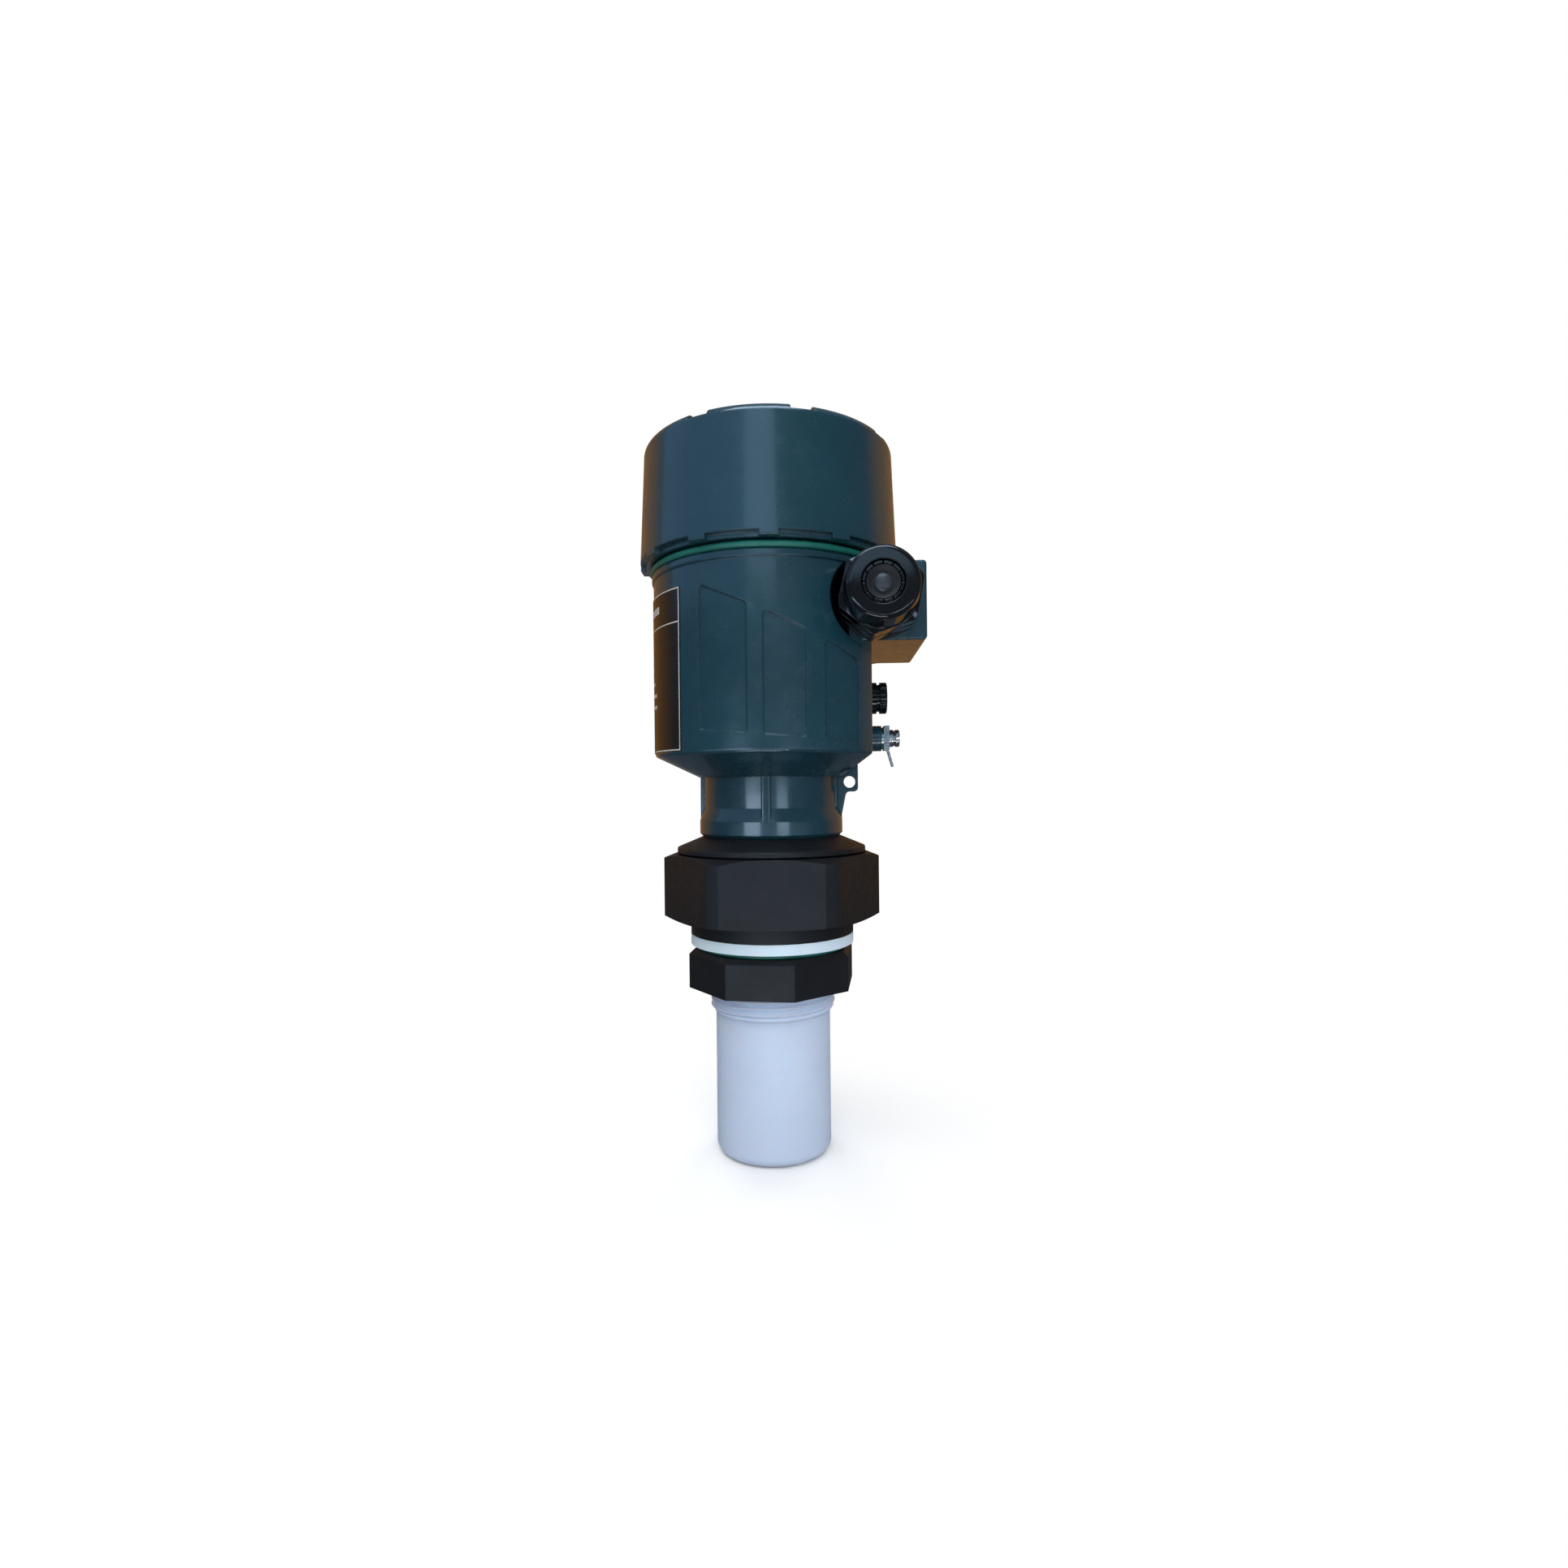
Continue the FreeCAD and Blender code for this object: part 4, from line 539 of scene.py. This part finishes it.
def mixed(tree, factor, first, second):
    """The first shader where the factor is 0, and the second where it is 1."""
    mix = tree.nodes.new("ShaderNodeMixShader")
    tree.links.new(factor, mix.inputs[0])
    tree.links.new(first.outputs[0], mix.inputs[1])
    tree.links.new(second.outputs[0], mix.inputs[2])
    return mix


def white_floor():
    """Floor that takes the shadow near the object and fades to plain white."""
    bpy.ops.mesh.primitive_circle_add(vertices=FLOOR_SIDES, radius=FLOOR_RADIUS, fill_type="NGON",
                                      location=(0, 0, FLOOR_Z))
    floor = bpy.context.object
    floor.name = "floor"
    material = bpy.data.materials.new("floor_white")
    material.use_nodes = True
    tree = material.node_tree
    pale = tree.nodes["Principled BSDF"]
    pale.inputs["Base Color"].default_value = FLOOR_SEEN
    pale.inputs["Roughness"].default_value = 1.0
    pale.inputs["Specular IOR Level"].default_value = 0.0
    dim = tree.nodes.new("ShaderNodeBsdfDiffuse")
    dim.inputs["Color"].default_value = FLOOR_BOUNCE
    glow = tree.nodes.new("ShaderNodeEmission")
    coords = tree.nodes.new("ShaderNodeTexCoord")
    length = tree.nodes.new("ShaderNodeVectorMath")
    length.operation = "LENGTH"
    fade = tree.nodes.new("ShaderNodeMapRange")
    fade.inputs["From Min"].default_value = SHADOW_REACH[0]
    fade.inputs["From Max"].default_value = SHADOW_REACH[1]
    fade.interpolation_type = "SMOOTHSTEP"
    tree.links.new(coords.outputs["Object"], length.inputs[0])
    tree.links.new(length.outputs["Value"], fade.inputs["Value"])
    white = mixed(tree, fade.outputs["Result"], pale, glow)
    shown = mixed(tree, seen_rays(tree), dim, white)
    tree.links.new(shown.outputs[0], tree.nodes["Material Output"].inputs["Surface"])
    floor.data.materials.append(material)


def pale_world():
    """White for the camera, glossy and see-through rays, dimmer as a light."""
    world = bpy.data.worlds.new("studio")
    bpy.context.scene.world = world
    world.use_nodes = True
    tree = world.node_tree
    lit = tree.nodes["Background"]
    lit.inputs["Color"].default_value = WORLD_LIGHT
    lit.inputs["Strength"].default_value = WORLD_LEVEL
    seen = tree.nodes.new("ShaderNodeBackground")
    seen.inputs["Color"].default_value = WORLD_SEEN
    shown = mixed(tree, seen_rays(tree), lit, seen)
    tree.links.new(shown.outputs[0], tree.nodes["World Output"].inputs["Surface"])


bpy.context.scene.view_settings.view_transform = "Standard"
white_floor()
pale_world()


# The room as the glossy faces see it, made of cards that light nothing

WALL = 0.66
CARD_LIFT = 0.001
ROOM_LOW = FLOOR_Z + CARD_LIFT
ROOM_HIGH = 0.8
LEFT = (-100, -16)
LEFT_SPLIT = 0.26
FRONT = (-16, 10)
FRONT_LOW_SPLIT = 0.0
FRONT_SPLIT = 0.28
RIGHT = (10, 100)
BACK = (100, 260)
ALL_ROUND = (0, 360)
FLOOR_HOLE = 0.023
CEILING_MIDDLE = (0.02, 0.9)
WINDOW_RADIUS = 0.6
WINDOW_LOW = -0.004
WINDOW_HIGH = 0.05
STRIP_Z = ROOM_LOW + CARD_LIFT
LEFT_GREY = (0.07, 0.1, 0.15)
RIGHT_GREY = (0.07, 0.09, 0.12)
BACK_GREY = (0.13, 0.15, 0.18)
TAN = (0.3, 0.15, 0.045)
BACK_STOPS = [(100, RIGHT_GREY), (112, TAN), (174, TAN), (182, BACK_GREY), (194, BACK_GREY),
              (208, TAN), (248, TAN), (260, LEFT_GREY)]
CARD_STEPS = 32

# Each card: bearings, lower rim and upper rim as (radius, height), colour or colour stops
ROOM = {
    "room_left_high": (LEFT, (WALL, LEFT_SPLIT), (WALL, ROOM_HIGH), (0.24, 0.37, 0.6)),
    "room_left": (LEFT, (WALL, ROOM_LOW), (WALL, LEFT_SPLIT), LEFT_GREY),
    "room_front_high": (FRONT, (WALL, FRONT_SPLIT), (WALL, ROOM_HIGH), (0.66, 1.05, 1.45)),
    "room_front": (FRONT, (WALL, FRONT_LOW_SPLIT), (WALL, FRONT_SPLIT), (0.05, 0.07, 0.1)),
    "room_front_low": (FRONT, (WALL, ROOM_LOW), (WALL, FRONT_LOW_SPLIT), (0.45, 0.65, 1.0)),
    "room_right": (RIGHT, (WALL, ROOM_LOW), (WALL, ROOM_HIGH), RIGHT_GREY),
    "room_back": (BACK, (WALL, ROOM_LOW), (WALL, ROOM_HIGH), BACK_STOPS),
    "room_floor": (ALL_ROUND, (FLOOR_HOLE, ROOM_LOW), (WALL, ROOM_LOW), (0.07, 0.08, 0.1)),
    "window_left": ((-38, -13), (WINDOW_RADIUS, WINDOW_LOW), (WINDOW_RADIUS, WINDOW_HIGH), (4.4, 6.0, 7.6)),
    "window_right": ((13, 31), (WINDOW_RADIUS, WINDOW_LOW), (WINDOW_RADIUS, WINDOW_HIGH), (3.0, 4.2, 5.2)),
    "window_floor": ((-30, 26), (0.17, STRIP_Z), (0.188, STRIP_Z), (14.0, 15.5, 17.0)),
    "window_high": ((-40, 40), (0.34, 0.52), (0.2, 0.62), (5.0, 6.5, 8.0)),
    "window_low": ((-62, 62), (0.63, -0.076), (0.63, -0.03), (2.4, 3.2, 4.2)),
    "room_ceiling": (ALL_ROUND, (WALL, ROOM_HIGH), CEILING_MIDDLE, (0.2, 0.24, 0.3)),
}


def graded(tree, stops):
    """Colour that changes along a card behind the object, from (bearing, colour) stops."""
    coords = tree.nodes.new("ShaderNodeTexCoord")
    around = tree.nodes.new("ShaderNodeTexGradient")
    around.gradient_type = "RADIAL"
    tree.links.new(coords.outputs["Object"], around.inputs["Vector"])
    places = [(0.5 + (bearing - 90) / 360, colour) for bearing, colour in stops]
    return colour_ramp(tree, around.outputs["Fac"], places)


def reflection_card(name, bearings, low, high, colour):
    """Curved card between two (radius, height) rims, which only shows in reflections.

    Its colour is one colour, or a list of (bearing, colour) stops.
    """
    points, faces = [], []
    for step in range(CARD_STEPS + 1):
        angle = math.radians(bearings[0] + (bearings[1] - bearings[0]) * step / CARD_STEPS)
        for radius, z in (low, high):
            points.append((radius * math.sin(angle), -radius * math.cos(angle), z))
    for step in range(CARD_STEPS):
        faces.append((2 * step, 2 * step + 2, 2 * step + 3, 2 * step + 1))
    mesh = bpy.data.meshes.new(name)
    mesh.from_pydata(points, [], faces)
    material = bpy.data.materials.new(name)
    material.use_nodes = True
    tree = material.node_tree
    glow = tree.nodes.new("ShaderNodeEmission")
    if isinstance(colour, list):
        tree.links.new(graded(tree, colour), glow.inputs["Color"])
    else:
        glow.inputs["Color"].default_value = (*colour, 1)
    tree.links.new(glow.outputs[0], tree.nodes["Material Output"].inputs["Surface"])
    mesh.materials.append(material)
    card = bpy.data.objects.new(name, mesh)
    bpy.context.scene.collection.objects.link(card)
    card.visible_camera = False
    card.visible_diffuse = False
    card.visible_shadow = False
    card.visible_transmission = False


for card_name, card_values in ROOM.items():
    reflection_card(card_name, *card_values)


# Lamps, which don't show in gloss: bearing, distance, height, size, watts, height aimed at

LAMPS = {
    "front_fill": (8, 0.6, 0.22, (0.4, 0.34), 2.0, 0.06),
    "right_fill": (65, 0.6, -0.01, (0.3, 0.12), 0.4, -0.02),
    "overhead": (-30, 0.5, 1.1, (1.2, 1.2), 8, 0.0),
    "back_right": (150, 0.6, 0.22, (0.4, 0.34), 1.5, 0.06),
    "back_left": (210, 0.6, 0.22, (0.4, 0.34), 1.5, 0.06),
}


def softbox(name, bearing, distance, height, size, power, target_z):
    """Rectangular soft light that is aimed at the axis."""
    lamp = bpy.data.lights.new(name, "AREA")
    lamp.shape = "RECTANGLE"
    lamp.size, lamp.size_y = size
    lamp.energy = power
    light = bpy.data.objects.new(name, lamp)
    bpy.context.scene.collection.objects.link(light)
    angle = math.radians(bearing)
    place = Vector((distance * math.sin(angle), -distance * math.cos(angle), height))
    light.location = place
    light.rotation_mode = "QUATERNION"
    light.rotation_quaternion = (Vector((0, 0, target_z)) - place).to_track_quat("-Z", "Y")
    light.visible_camera = False
    light.visible_glossy = False


for lamp_name, lamp_values in LAMPS.items():
    softbox(lamp_name, *lamp_values)


# Camera of the photograph: lens and sensor in millimetres, turn and roll in degrees

CAMERA_BEARING = 4.0
CAMERA_DISTANCE = 0.312
CAMERA_HEIGHT = 0.0555
CAMERA_LENS = 18.43
CAMERA_SENSOR = 36.0
CAMERA_CLIP = (0.01, 20.0)
CAMERA_TURN = 0.9235
CAMERA_ROLL = 0.565
CAMERA_SHIFT_PIXELS = 3.0
PHOTO_PIXELS = 1932


def photo_camera():
    data = bpy.data.cameras.new("photo_camera")
    data.sensor_width = CAMERA_SENSOR
    data.lens = CAMERA_LENS
    data.shift_y = CAMERA_SHIFT_PIXELS / PHOTO_PIXELS
    data.clip_start, data.clip_end = CAMERA_CLIP
    camera = bpy.data.objects.new("photo_camera", data)
    bpy.context.scene.collection.objects.link(camera)
    stand = math.radians(CAMERA_BEARING)
    aim = math.radians(CAMERA_BEARING - CAMERA_TURN)
    roll = math.radians(CAMERA_ROLL)
    back = Vector((math.sin(aim), -math.cos(aim), 0))
    level = Vector((math.cos(aim), math.sin(aim), 0))
    up = Vector((0, 0, 1)) * math.cos(roll) + level * math.sin(roll)
    right = up.cross(back)
    place = Vector((math.sin(stand) * CAMERA_DISTANCE, -math.cos(stand) * CAMERA_DISTANCE,
                    CAMERA_HEIGHT))
    turn = Matrix((right, up, back)).transposed().to_4x4()
    camera.matrix_world = Matrix.Translation(place) @ turn
    bpy.context.scene.camera = camera


photo_camera()
